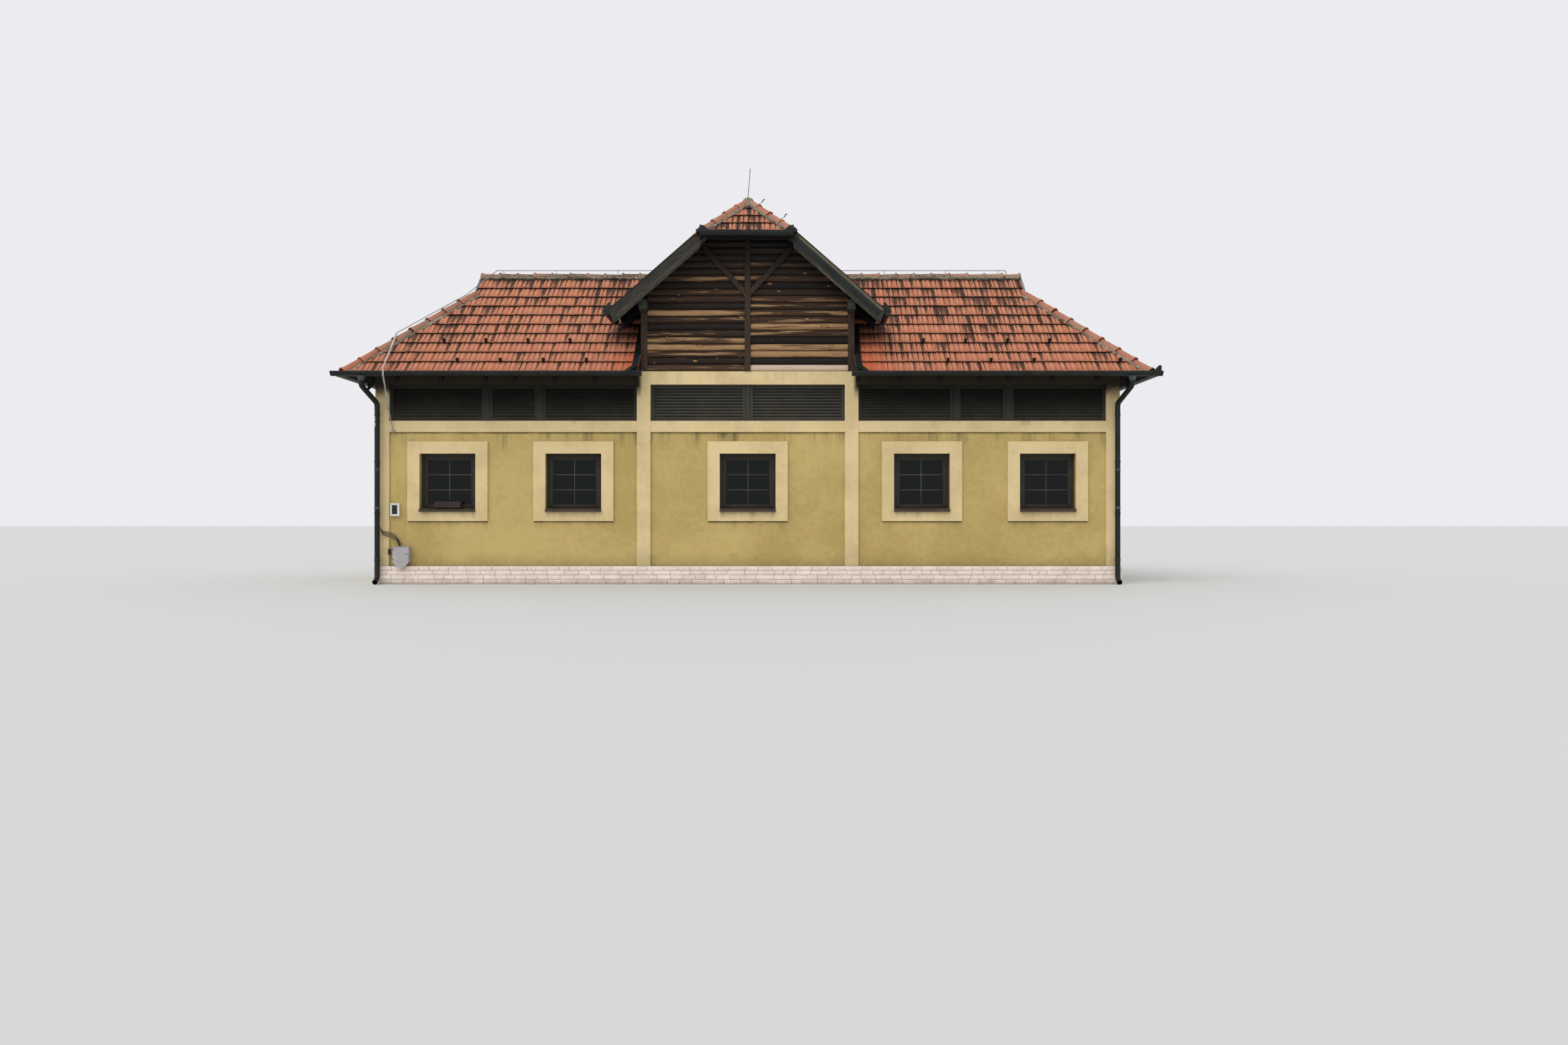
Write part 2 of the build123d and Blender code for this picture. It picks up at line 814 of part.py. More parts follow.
def barge_outline(rise, depth):
    """The (x, z) outline of a band along the verge of the +X slope."""
    top_z = half_hip_eave_height + rise
    drop = depth / math.cos(math.radians(cross_pitch))
    slant = barge_end_slant * depth / barge_depth
    end_z = top_z - (barge_end_x - half_hip_eave_x) * cross_slope
    return [(half_hip_eave_x, top_z), (barge_end_x, end_z),
            (barge_end_x - slant, end_z + slant * cross_slope - drop), (half_hip_eave_x, top_z - drop)]


def barge_boards():
    """The two barge boards of the front verge."""
    board = prism_y(barge_outline(barge_rise, barge_depth), -cross_front_y - barge_thickness, -cross_front_y)
    return both_sides([board])


def verge_flashings():
    """The metal strips on top of the barge boards."""
    drop = flashing_thickness / math.cos(math.radians(cross_pitch))
    outline = barge_outline(barge_rise + drop, flashing_thickness)
    outer = -cross_front_y - barge_thickness - flashing_lip
    return both_sides([prism_y(outline, outer, -cross_front_y)])


def half_hip_board():
    """The board under the half hip, between the barge boards."""
    face = -cross_front_y - barge_thickness
    return [block(-half_hip_eave_x, half_hip_eave_x, face, -cross_front_y,
                  half_hip_eave_height - half_hip_board_drop, half_hip_eave_height - covering_thickness)]


# Ridge and hip covers

def cover(start, end, bodies):
    """A rounded cover along a ridge or hip line, bedded on the roof planes."""
    first = Vector(*start)
    last = Vector(*end)
    line = (last - first).normalized()
    down = (line * line.Z - Vector(0, 0, 1)).normalized() * cover_sink
    shape = bar(first + down, last + down, cover_radius)
    for body in bodies:
        shape = shape - body
    return shape


def main_ridge_covers():
    """The covers of the main ridge, from the cross roof to the gablets."""
    start_x = (cross_ridge_height - main_ridge_height) / cross_slope
    start = (start_x, 0, main_ridge_height)
    end = (gablet_x, 0, main_ridge_height)
    return both_sides([cover(start, end, (main_body, cross_body))])


def cross_ridge_cover():
    """The cover of the cross ridge, from half hip to half hip."""
    start = (0, -half_hip_apex_y, cross_ridge_height)
    end = (0, half_hip_apex_y, cross_ridge_height)
    return [cover(start, end, (cross_body,))]


def main_hip_covers():
    """The covers of the four hips."""
    start = (eave_x, -eave_y, eave_height)
    end = (gablet_x, -gablet_half_width, gablet_foot_height)
    box = block(0, eave_x, -eave_y, 0, eave_height, roof_top)
    shape = cover(start, end, (main_body,)) & box
    front = both_sides([shape])
    return front + to_back(front)


def half_hip_covers():
    """The covers of the four short hips of the cross roof."""
    start = (half_hip_eave_x, -cross_front_y, half_hip_eave_height)
    end = (0, -half_hip_apex_y, cross_ridge_height)
    box = block(half_hip_cover_start, cross_eave_x, -cross_front_y, -half_hip_apex_y, eave_height, roof_top)
    shape = cover(start, end, (cross_body,)) & box
    front = both_sides([shape])
    return front + to_back(front)


def gablet_verges():
    """Metal strips folded over the sloping edges of the gablets."""
    top = main_ridge_height - cover_radius
    low = gablet_foot_height + cover_radius
    y_top = (main_ridge_height - top) / main_slope
    y_low = (main_ridge_height - low) / main_slope
    rise = verge_strip_rise
    outline = [(-y_low, low - rise), (-y_top, top - rise), (-y_top, top + rise), (-y_low, low + rise)]
    strip = prism_x(outline, gablet_x - verge_strip_inside, gablet_x + verge_strip_outside) - main_body
    front = both_sides([strip])
    return front + to_back(front)


# Gutters and downpipes

def trough(x0, x1, center_y, center_z):
    """A straight gutter along X with closed ends."""
    lower = Pos(0, -gutter_radius / 2, 0) * Rectangle(2 * gutter_radius, gutter_radius)
    upright = Plane(origin=(0, center_y, center_z), x_dir=(0, 1, 0), z_dir=(1, 0, 0))
    section = upright * ((Circle(gutter_radius) - Circle(gutter_radius - gutter_wall)) & lower)
    plate = upright * (Circle(gutter_radius) & lower)
    channel = Pos(x0, 0, 0) * extrude(section, amount=x1 - x0, dir=(1, 0, 0))
    first = Pos(x0, 0, 0) * extrude(plate, amount=gutter_wall, dir=(1, 0, 0))
    last = Pos(x1 - gutter_wall, 0, 0) * extrude(plate, amount=gutter_wall, dir=(1, 0, 0))
    return channel + first + last


def front_gutters():
    """The gutters of the front eave, one at each side of the gable."""
    start = cross_half_width - gutter_lap
    end = eave_x + 2 * gutter_out
    return both_sides([trough(start, end, -eave_y - gutter_out, eave_height - gutter_drop)])


def end_gutters():
    """The gutters of the two ends, between the front and back gutters."""
    reach = eave_y + gutter_out - gutter_radius
    straight = trough(-reach, reach, 0, 0)
    turned = Pos(eave_x + gutter_out, 0, eave_height - gutter_drop) * (Rot(0, 0, 90) * straight)
    return both_sides([turned])


def half_hip_gutters():
    """The short gutters under the two half hips."""
    y = cross_front_y + barge_thickness + gutter_out
    front = trough(-half_hip_eave_x, half_hip_eave_x, -y, half_hip_eave_height - half_hip_gutter_drop)
    return [front] + to_back([front])


def cross_gutters():
    """The gutters of the cross roof's eaves, from the verge back to the main roof."""
    valley_y = eave_y - (cross_eave_height - eave_height) / main_slope
    length = cross_front_y - valley_y - cross_gutter_end_gap
    straight = trough(-cross_front_y, -cross_front_y + length, 0, 0)
    turned = Rot(0, 0, 90) * straight
    placed = Pos(cross_eave_x + gutter_out, 0, cross_eave_height - cross_gutter_drop) * turned
    front = both_sides([placed])
    return front + to_back(front)


def downpipe():
    """The pipe at the right front corner: outlet, neck, straight length and shoe."""
    wall_y = -half_depth - plinth_projection - pipe_standoff - pipe_radius
    outlet_y = -eave_y - gutter_out
    top = eave_height - gutter_drop - gutter_radius
    points = [(pipe_outlet_x, outlet_y, top), (pipe_outlet_x, outlet_y, pipe_neck_top),
              (pipe_x, wall_y, pipe_neck_bottom), (pipe_x, wall_y, pipe_foot),
              (pipe_x, wall_y - shoe_reach, pipe_foot - shoe_fall)]
    path = FilletPolyline(*points, radius=pipe_bend_radius)
    plane = Plane(origin=points[0], z_dir=(0, 0, -1))
    ring = plane * (Circle(pipe_radius) - Circle(pipe_radius - pipe_wall))
    return sweep(ring, path=path)


def front_downpipes():
    """The pipes at both front corners."""
    return both_sides([downpipe()])


def pipe_brackets():
    """The clips that hold a pipe to the wall."""
    wall_y = -half_depth - plinth_projection - pipe_standoff - pipe_radius
    half_arm = bracket_arm_width / 2
    arm_start = wall_y + pipe_radius + bracket_thickness / 2
    section = Circle(pipe_radius + bracket_thickness) - Circle(pipe_radius)
    clips = []
    for z in pipe_bracket_heights:
        ring = Pos(pipe_x, wall_y, z) * extrude(section, amount=bracket_height)
        arm = block(pipe_x - half_arm, pipe_x + half_arm, arm_start, -half_depth, z, z + bracket_height)
        clips.append(ring + arm)
    return both_sides(clips)


# Lightning protection

def lightning_rod():
    """The rod over the front end of the cross ridge, leaning a little."""
    foot_z = cross_ridge_height + cover_rise + rod_foot_gap
    return [bar((0, -half_hip_apex_y, foot_z), (rod_lean, -half_hip_apex_y, cross_ridge_height + rod_height),
                rod_radius)]


def hip_point(share, lift):
    """A point over the left front hip, a share of the way down from the gablet."""
    x = gablet_x + share * (eave_x - gablet_x)
    y = gablet_half_width + share * (eave_y - gablet_half_width)
    return (-x, -y, gablet_foot_height - share * (gablet_foot_height - eave_height) + lift)


def wire_route():
    """The wire's points: along the main ridge, down the left front hip, round the gutter and to the wall."""
    ridge_z = main_ridge_height + wire_lift
    start_x = (cross_ridge_height - main_ridge_height - wire_lift) / cross_slope
    gutter_face = -eave_y - gutter_out - gutter_radius - wire_radius - wire_gutter_gap
    wall_face = -half_depth - wire_wall_gap
    return [(-start_x, 0, ridge_z), (-wire_ridge_end, 0, ridge_z),
            hip_point(wire_hip_top, wire_hip_top_lift), hip_point(wire_hip_foot, wire_hip_foot_lift),
            (-wire_eave_x, gutter_face, eave_height + wire_eave_lift),
            (-wire_eave_x, gutter_face, eave_height - wire_gutter_foot),
            (-wire_clamp_x, wall_face, wire_clamp_height), (-wire_foot_x, wall_face, wire_foot)]


def lightning_wire():
    """The wire from the cross roof to the left front pilaster, and its twin at the right back corner."""
    points = wire_route()
    pieces = []
    for start, end in zip(points, points[1:]):
        pieces.append(bar(start, end, wire_radius))
    whole = pieces[0]
    for piece in pieces[1:]:
        whole = whole + piece
    for point in points[1:-1]:
        whole = whole + Pos(*point) * Sphere(wire_radius)
    lead = whole - cross_body
    return [lead] + to_back([lead])


def wire_holders():
    """Upright holders between the ridge covers and the wire."""
    foot = main_ridge_height + cover_rise + seat_gap
    top = main_ridge_height + wire_lift - wire_radius
    return both_sides([bar((x, 0, foot), (x, 0, top), wire_holder_radius) for x in wire_holder_places])


# Fittings

def meter_cabinet():
    """The meter cabinet at the left end of the front wall, its funnel hanging before the plinth."""
    half = cabinet_width / 2
    half_foot = cabinet_foot_width / 2
    face = -panel_y - cabinet_depth
    low = cabinet_bottom - cabinet_foot_height
    body = block(cabinet_x - half, cabinet_x + half, face, -panel_y,
                 cabinet_bottom, cabinet_bottom + cabinet_height)
    outline = [(cabinet_x - half, cabinet_bottom), (cabinet_x - half_foot, low),
               (cabinet_x + half_foot, low), (cabinet_x + half, cabinet_bottom)]
    plinth_face = -half_depth - plinth_projection - seat_gap
    funnel = prism_y(outline, face, face + cabinet_foot_depth)
    funnel = funnel - block(-eave_x, eave_x, plinth_face, 0, 0, plinth_height + seat_gap)
    return [body + funnel]


def wall_box():
    """The small framed box over the cabinet."""
    half = box_width / 2
    face = -panel_y - box_depth
    return [block(box_x - half, box_x + half, face, -panel_y, box_bottom, box_bottom + box_height)]


def planter():
    """The trough on the sill of the first window."""
    x = front_window_places[0]
    half = planter_length / 2
    back = -panel_y + planter_inset
    run = window_setback + surround_projection + sill_projection
    low = window_bottom + sill_height - sill_fall * (window_setback - planter_inset) / run + seat_gap
    return [block(x - half, x + half, back - planter_depth, back, low, low + planter_height)]


def build_all():
    """Every node with its solids."""
    nodes = {}
    nodes["plinth"] = plinth()
    nodes["floor_slab"] = floor_slab()
    nodes["front_wall_left"] = front_wall_bay(-1)
    nodes["front_wall_middle"] = front_wall_bay(0)
    nodes["front_wall_right"] = front_wall_bay(1)
    beside, over = back_wall_middle()
    nodes["back_wall_left"] = to_back(front_wall_bay(1))
    nodes["back_wall_beside_door"] = beside
    nodes["back_wall_over_door"] = over
    nodes["back_wall_right"] = to_back(front_wall_bay(-1))
    nodes["end_walls"] = both_sides([end_wall()])
    nodes["upper_posts"] = upper_posts()
    nodes["ring_beam"] = ring_beam()
    pilasters = front_pilasters()
    nodes["pilasters"] = pilasters + to_back(pilasters) + end_pilasters()
    bands = front_bands()
    nodes["bands"] = bands + to_back(bands) + end_bands()
    surrounds = [front_surround(x) for x in front_window_places]
    back_surrounds = to_back([front_surround(x) for x in back_window_places])
    end_surrounds = both_sides([to_end(front_surround(0))])
    nodes["surrounds"] = surrounds + back_surrounds + end_surrounds + [door_surround()]
    for name, maker in (("window_frames", window_frame), ("window_sashes", window_sash),
                        ("window_panes", window_pane), ("window_sills", window_sill)):
        front = [maker(x) for x in front_window_places]
        back = to_back([maker(x) for x in back_window_places])
        nodes[name] = front + back + both_sides([to_end(maker(0))])
    frame, leaf = back_door()
    nodes["back_door_frame"] = frame
    nodes["back_door"] = leaf
    nodes["back_steps"] = back_steps()
    panels = front_louvre_panels()
    nodes["louvre_panels"] = panels + to_back(panels) + end_louvre_panels()
    posts = front_louvre_posts()
    nodes["louvre_posts"] = posts + to_back(posts) + end_louvre_posts()
    covering = main_covering()
    front_plane = covering & front_roof_region()
    nodes["roof_front"] = [front_plane]
    nodes["roof_back"] = to_back([front_plane])
    end_plane = covering & end_roof_region()
    nodes["roof_ends"] = both_sides([end_plane])
    cross = cross_covering()
    slope = cross & cross_slope_region()
    nodes["cross_roof"] = both_sides([slope])
    hip = cross & half_hip_region()
    nodes["half_hips"] = [hip] + to_back([hip])
    nodes["gablet_walls"] = gablet_walls()
    nodes["gablet_verges"] = gablet_verges()
    nodes["wall_plates"] = wall_plates()
    rafters = front_rafters()
    nodes["rafters"] = rafters + to_back(rafters) + end_rafters()
    nodes["cross_rafters"] = cross_rafters()
    nodes["cross_purlins"] = both_sides([cross_purlin()])
    siding = gable_siding()
    nodes["gable_siding"] = siding + to_back(siding)
    gable = gable_posts()
    nodes["gable_posts"] = gable + to_back(gable)
    braces = gable_braces()
    nodes["gable_braces"] = braces + to_back(braces)
    cheeks = cheek_walls()
    nodes["cheek_walls"] = cheeks + to_back(cheeks)
    barges = barge_boards()
    nodes["barge_boards"] = barges + to_back(barges)
    strips = verge_flashings()
    nodes["verge_flashings"] = strips + to_back(strips)
    board = half_hip_board()
    nodes["half_hip_boards"] = board + to_back(board)
    nodes["ridge_covers"] = main_ridge_covers() + cross_ridge_cover()
    nodes["hip_covers"] = main_hip_covers() + half_hip_covers()
    gutters = front_gutters()
    nodes["eave_gutters"] = gutters + to_back(gutters) + end_gutters()
    nodes["cross_gutters"] = cross_gutters() + half_hip_gutters()
    pipes = front_downpipes()
    nodes["downpipes"] = pipes + to_back(pipes)
    clips = pipe_brackets()
    nodes["pipe_brackets"] = clips + to_back(clips)
    nodes["lightning_rod"] = lightning_rod()
    nodes["lightning_wire"] = lightning_wire()
    nodes["wire_holders"] = wire_holders()
    nodes["meter_cabinet"] = meter_cabinet()
    nodes["wall_box"] = wall_box()
    nodes["planter"] = planter()
    return nodes


os.makedirs("parts", exist_ok=True)
for node_name, node_shapes in build_all().items():
    write(node_name, node_shapes)
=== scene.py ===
"""Dresses the railway station building: tiled roofs, log gable, plaster walls, windows, louvres and metalwork.

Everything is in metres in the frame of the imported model: +X along the facade, the front faces -Y, +Z up.
"""
from __future__ import annotations

import json
import logging
import math
import random
from collections import defaultdict
from dataclasses import dataclass, field
from enum import Enum
from functools import cached_property, partialmethod
from typing import Iterator, Optional, Sequence, Union

import bmesh
import bpy
import numpy as np
from mathutils import Matrix, Vector, noise
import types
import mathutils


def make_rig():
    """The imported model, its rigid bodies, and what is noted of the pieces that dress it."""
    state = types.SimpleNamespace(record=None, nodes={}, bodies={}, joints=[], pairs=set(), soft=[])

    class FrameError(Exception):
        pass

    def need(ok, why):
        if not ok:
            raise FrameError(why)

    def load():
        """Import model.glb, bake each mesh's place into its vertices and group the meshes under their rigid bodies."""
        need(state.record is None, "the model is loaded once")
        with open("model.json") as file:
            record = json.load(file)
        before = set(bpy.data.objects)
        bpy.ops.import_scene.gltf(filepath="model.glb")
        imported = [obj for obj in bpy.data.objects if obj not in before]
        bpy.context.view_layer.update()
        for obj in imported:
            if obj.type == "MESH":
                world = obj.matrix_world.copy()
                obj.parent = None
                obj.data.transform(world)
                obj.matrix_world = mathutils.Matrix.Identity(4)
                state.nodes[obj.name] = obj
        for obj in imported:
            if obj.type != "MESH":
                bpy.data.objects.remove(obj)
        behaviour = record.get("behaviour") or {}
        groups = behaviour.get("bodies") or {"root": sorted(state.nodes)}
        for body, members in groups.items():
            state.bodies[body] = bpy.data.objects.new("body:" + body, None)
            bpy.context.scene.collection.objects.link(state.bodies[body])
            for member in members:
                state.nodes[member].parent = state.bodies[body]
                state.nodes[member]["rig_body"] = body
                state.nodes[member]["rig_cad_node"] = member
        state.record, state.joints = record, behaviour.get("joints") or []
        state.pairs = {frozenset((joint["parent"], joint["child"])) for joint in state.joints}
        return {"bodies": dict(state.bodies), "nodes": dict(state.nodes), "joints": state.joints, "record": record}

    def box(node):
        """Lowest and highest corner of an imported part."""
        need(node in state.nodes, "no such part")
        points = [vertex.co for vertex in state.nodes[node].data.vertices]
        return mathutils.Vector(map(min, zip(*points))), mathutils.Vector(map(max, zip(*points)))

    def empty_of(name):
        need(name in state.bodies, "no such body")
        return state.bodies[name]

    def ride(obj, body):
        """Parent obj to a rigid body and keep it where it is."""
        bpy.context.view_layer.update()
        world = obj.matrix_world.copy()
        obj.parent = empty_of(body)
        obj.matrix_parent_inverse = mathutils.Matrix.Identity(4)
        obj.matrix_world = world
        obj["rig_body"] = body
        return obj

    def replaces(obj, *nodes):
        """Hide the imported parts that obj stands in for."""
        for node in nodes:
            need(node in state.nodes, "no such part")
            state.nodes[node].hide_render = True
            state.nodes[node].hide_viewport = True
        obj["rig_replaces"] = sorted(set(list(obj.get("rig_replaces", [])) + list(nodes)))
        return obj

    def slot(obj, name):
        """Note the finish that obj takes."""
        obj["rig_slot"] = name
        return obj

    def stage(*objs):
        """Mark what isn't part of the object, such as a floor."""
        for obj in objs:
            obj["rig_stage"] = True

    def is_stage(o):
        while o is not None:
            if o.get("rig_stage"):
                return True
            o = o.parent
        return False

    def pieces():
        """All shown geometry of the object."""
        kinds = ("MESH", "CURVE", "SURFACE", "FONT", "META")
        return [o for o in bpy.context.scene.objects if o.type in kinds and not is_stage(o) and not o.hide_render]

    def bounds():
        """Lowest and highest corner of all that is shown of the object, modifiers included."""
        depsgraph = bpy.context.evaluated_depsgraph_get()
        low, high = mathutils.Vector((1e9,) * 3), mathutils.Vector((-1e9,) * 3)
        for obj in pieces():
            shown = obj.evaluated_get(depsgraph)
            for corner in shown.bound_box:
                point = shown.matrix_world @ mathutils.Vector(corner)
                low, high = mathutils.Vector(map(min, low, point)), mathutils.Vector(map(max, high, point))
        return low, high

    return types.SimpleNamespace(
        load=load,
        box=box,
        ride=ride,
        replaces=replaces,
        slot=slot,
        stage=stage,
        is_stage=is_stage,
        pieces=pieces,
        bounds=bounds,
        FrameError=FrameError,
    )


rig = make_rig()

LOG = logging.getLogger("station")
BODY = "root"
SIZE_FILE = "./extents.json"
BMesh = bmesh.types.BMesh
Material = bpy.types.Material
Mesh = bpy.types.Mesh
Number = Union["Value", float]
Color = Union["Value", tuple]
Cut = tuple[Vector, Vector]
# Sizes that both the finishes and the pieces use
WINDOW_MIDDLES = (3.74, 6.44)
PLINTH_TOP = 0.39
TILE_WIDTH = 0.228


class Side(Enum):
    """Which half of the building a piece stands on."""

    RIGHT = 1.0
    LEFT = -1.0


class Face(Enum):
    """The long face that a piece belongs to, as a turn about +Z."""

    FRONT = 0.0
    BACK = math.pi


def srgb(*channels: int) -> tuple[float, ...]:
    """Turn an 8-bit display colour, given as red, green and blue, into a linear one with full alpha."""
    shares = [channel / 255 for channel in channels]
    return tuple(share / 12.92 if share <= 0.04045 else ((share + 0.055) / 1.055) ** 2.4 for share in shares) + (1.0,)


# Shader helpers


def feed(node: bpy.types.Node, inputs: dict) -> bpy.types.Node:
    """Set or link a node's inputs, by name or number, and return the node."""
    for key, value in inputs.items():
        given = value.socket if isinstance(value, Value) else value
        if isinstance(given, bpy.types.NodeSocket):
            node.id_data.links.new(given, node.inputs[key])
        else:
            node.inputs[key].default_value = given
    return node


def put(tree: bpy.types.NodeTree, kind: str, inputs: Optional[dict] = None, **settings) -> bpy.types.Node:
    """Add a node, set its options and fill or link its inputs.

    Args:
        tree: The tree that gets the node.
        kind: The node's type name.
        inputs: Input names or numbers with the number, colour or value that each one takes.
        settings: Options of the node itself.

    Returns:
        The new node.
    """
    node = tree.nodes.new(kind)
    for name, value in settings.items():
        setattr(node, name, value)
    return feed(node, inputs or {})


class Value:
    """What a socket gives, with the nodes that can take it further."""

    def __init__(self, socket: bpy.types.NodeSocket) -> None:
        """Hold the socket."""
        self.socket = socket

    def node(self, kind: str, inputs: dict, **settings) -> "Outputs":
        """Add a node to this value's tree and return its outputs."""
        return Outputs(put(self.socket.id_data, kind, inputs, **settings))

    def math(self, operation: str, other: Number = 0.0) -> "Value":
        """Add a math node that takes this value first."""
        return self.node("ShaderNodeMath", {0: self, 1: other}, operation=operation)[0]

    # Sums with numbers and other values
    __add__ = partialmethod(math, "ADD")
    __sub__ = partialmethod(math, "SUBTRACT")
    __mul__ = partialmethod(math, "MULTIPLY")
    __truediv__ = partialmethod(math, "DIVIDE")
    __abs__ = partialmethod(math, "ABSOLUTE")

    def __rtruediv__(self, other: float) -> "Value":
        """Divide a number by this value."""
        return self.node("ShaderNodeMath", {0: other, 1: self}, operation="DIVIDE")[0]

    def mask(self, low: Number, high: Number) -> "Value":
        """Return a smooth mask that is 0 at low and 1 at high; low may be the larger one."""
        return self.node("ShaderNodeMapRange", {"Value": self, "From Min": low, "From Max": high},
                         interpolation_type="SMOOTHSTEP")[0]

    def blend(self, first: Color, second: Color) -> "Value":
        """Mix two colours, with this value as the share of the second one."""
        return self.node("ShaderNodeMix", {0: self, 6: first, 7: second}, data_type="RGBA")[2]

    def stretched(self, *scale: float) -> "Value":
        """Scale a coordinate along its three axes."""
        return self.node("ShaderNodeMapping", {"Vector": self, "Scale": scale})[0]

    def moved(self, other: "Value") -> "Value":
        """Add another coordinate to this one."""
        return self.node("ShaderNodeVectorMath", {0: self, 1: other}, operation="ADD")[0]

    def axes(self) -> "Outputs":
        """Split a coordinate into X, Y and Z."""
        return self.node("ShaderNodeSeparateXYZ", {0: self})

    def cloud(self, scale: Number, detail: float = 4.0, rough: float = 0.55) -> "Value":
        """Return the noise at this coordinate."""
        return self.node("ShaderNodeTexNoise", {"Vector": self, "Scale": scale, "Detail": detail,
                                                "Roughness": rough})[0]

    def cells(self, scale: Number) -> tuple["Value", "Outputs"]:
        """Lay flat cells over this coordinate and return the distance to a cell's middle and its own numbers."""
        cells = self.node("ShaderNodeTexVoronoi", {"Vector": self, "Scale": scale}, voronoi_dimensions="2D")
        return cells["Distance"], self.node("ShaderNodeSeparateColor", {0: cells["Color"]})

    def luck(self, dimensions: str, key: str) -> "Value":
        """Return a number of its own for each value or flat coordinate."""
        return self.node("ShaderNodeTexWhiteNoise", {key: self}, noise_dimensions=dimensions)["Value"]

    def attribute(self, name: str) -> "Value":
        """Return a number stored on the mesh."""
        return self.node("ShaderNodeAttribute", {}, attribute_name=name)["Fac"]


class Outputs:
    """A node's outputs as values, by name, by number or in their order."""

    def __init__(self, node: bpy.types.Node) -> None:
        """Hold the node's sockets."""
        self.sockets = node.outputs

    def __getitem__(self, key: Union[int, str]) -> Value:
        """Return one output."""
        return Value(self.sockets[key])

    def __iter__(self) -> Iterator[Value]:
        """Go through all outputs."""
        return (Value(socket) for socket in self.sockets)


def weighted(*parts: tuple[Number, Number], base: Number = 0.0) -> Value:
    """Add up values, the first of them not a bare number, each times its weight, on top of a base."""
    total = base
    for value, weight in parts:
        total = parts[0][0].node("ShaderNodeMath", {0: value, 1: weight, 2: total}, operation="MULTIPLY_ADD")[0]
    return total


def strongest(first: Value, *others: Value) -> Value:
    """Return the largest of several masks."""
    for other in others:
        first = first.math("MAXIMUM", other)
    return first


def layered(color: Color, *layers: tuple[Value, Color]) -> Value:
    """Lay colours over a first one, each by its own mask."""
    for mask, over in layers:
        color = mask.blend(color, over)
    return color


def joined(*parts: Value) -> Value:
    """Join up to three values to a coordinate."""
    return parts[0].node("ShaderNodeCombineXYZ", dict(enumerate(parts)))[0]


FLOAT = "NodeSocketFloat"
VECTOR = "NodeSocketVector"
COLOR = "NodeSocketColor"
MID_GREY = (0.5, 0.5, 0.5, 1.0)


class Group:
    """A node group that several materials share, with a coordinate as its first input."""

    def __init__(self, name: str, takes: dict[str, Union[float, tuple]], *gives: str) -> None:
        """Start the group.

        Args:
            name: The group's name.
            takes: Name and default of each input after the coordinate; four numbers make it a colour.
            gives: Name of each output; only Color is a colour.
        """
        self.tree = bpy.data.node_groups.new(name, "ShaderNodeTree")
        sockets = self.tree.interface
        sockets.new_socket("Vector", in_out="INPUT", socket_type=VECTOR)
        for label, value in takes.items():
            kind = COLOR if isinstance(value, tuple) else FLOAT
            sockets.new_socket(label, in_out="INPUT", socket_type=kind).default_value = value
        for label in gives:
            sockets.new_socket(label, in_out="OUTPUT", socket_type=COLOR if label == "Color" else FLOAT)
        entry = Outputs(self.tree.nodes.new("NodeGroupInput"))
        self.inputs = [entry[index] for index in range(len(takes) + 1)]

    def giving(self, *values: Value) -> "Group":
        """Link the values to the outputs, in their order, and return the group."""
        put(self.tree, "NodeGroupOutput", dict(enumerate(values)))
        return self

    def __call__(self, *inputs: Union[Value, float, tuple]) -> Outputs:
        """Place the group where its first input is, fill its inputs in their order and return its outputs."""
        return inputs[0].node("ShaderNodeGroup", dict(enumerate(inputs)), node_tree=self.tree)


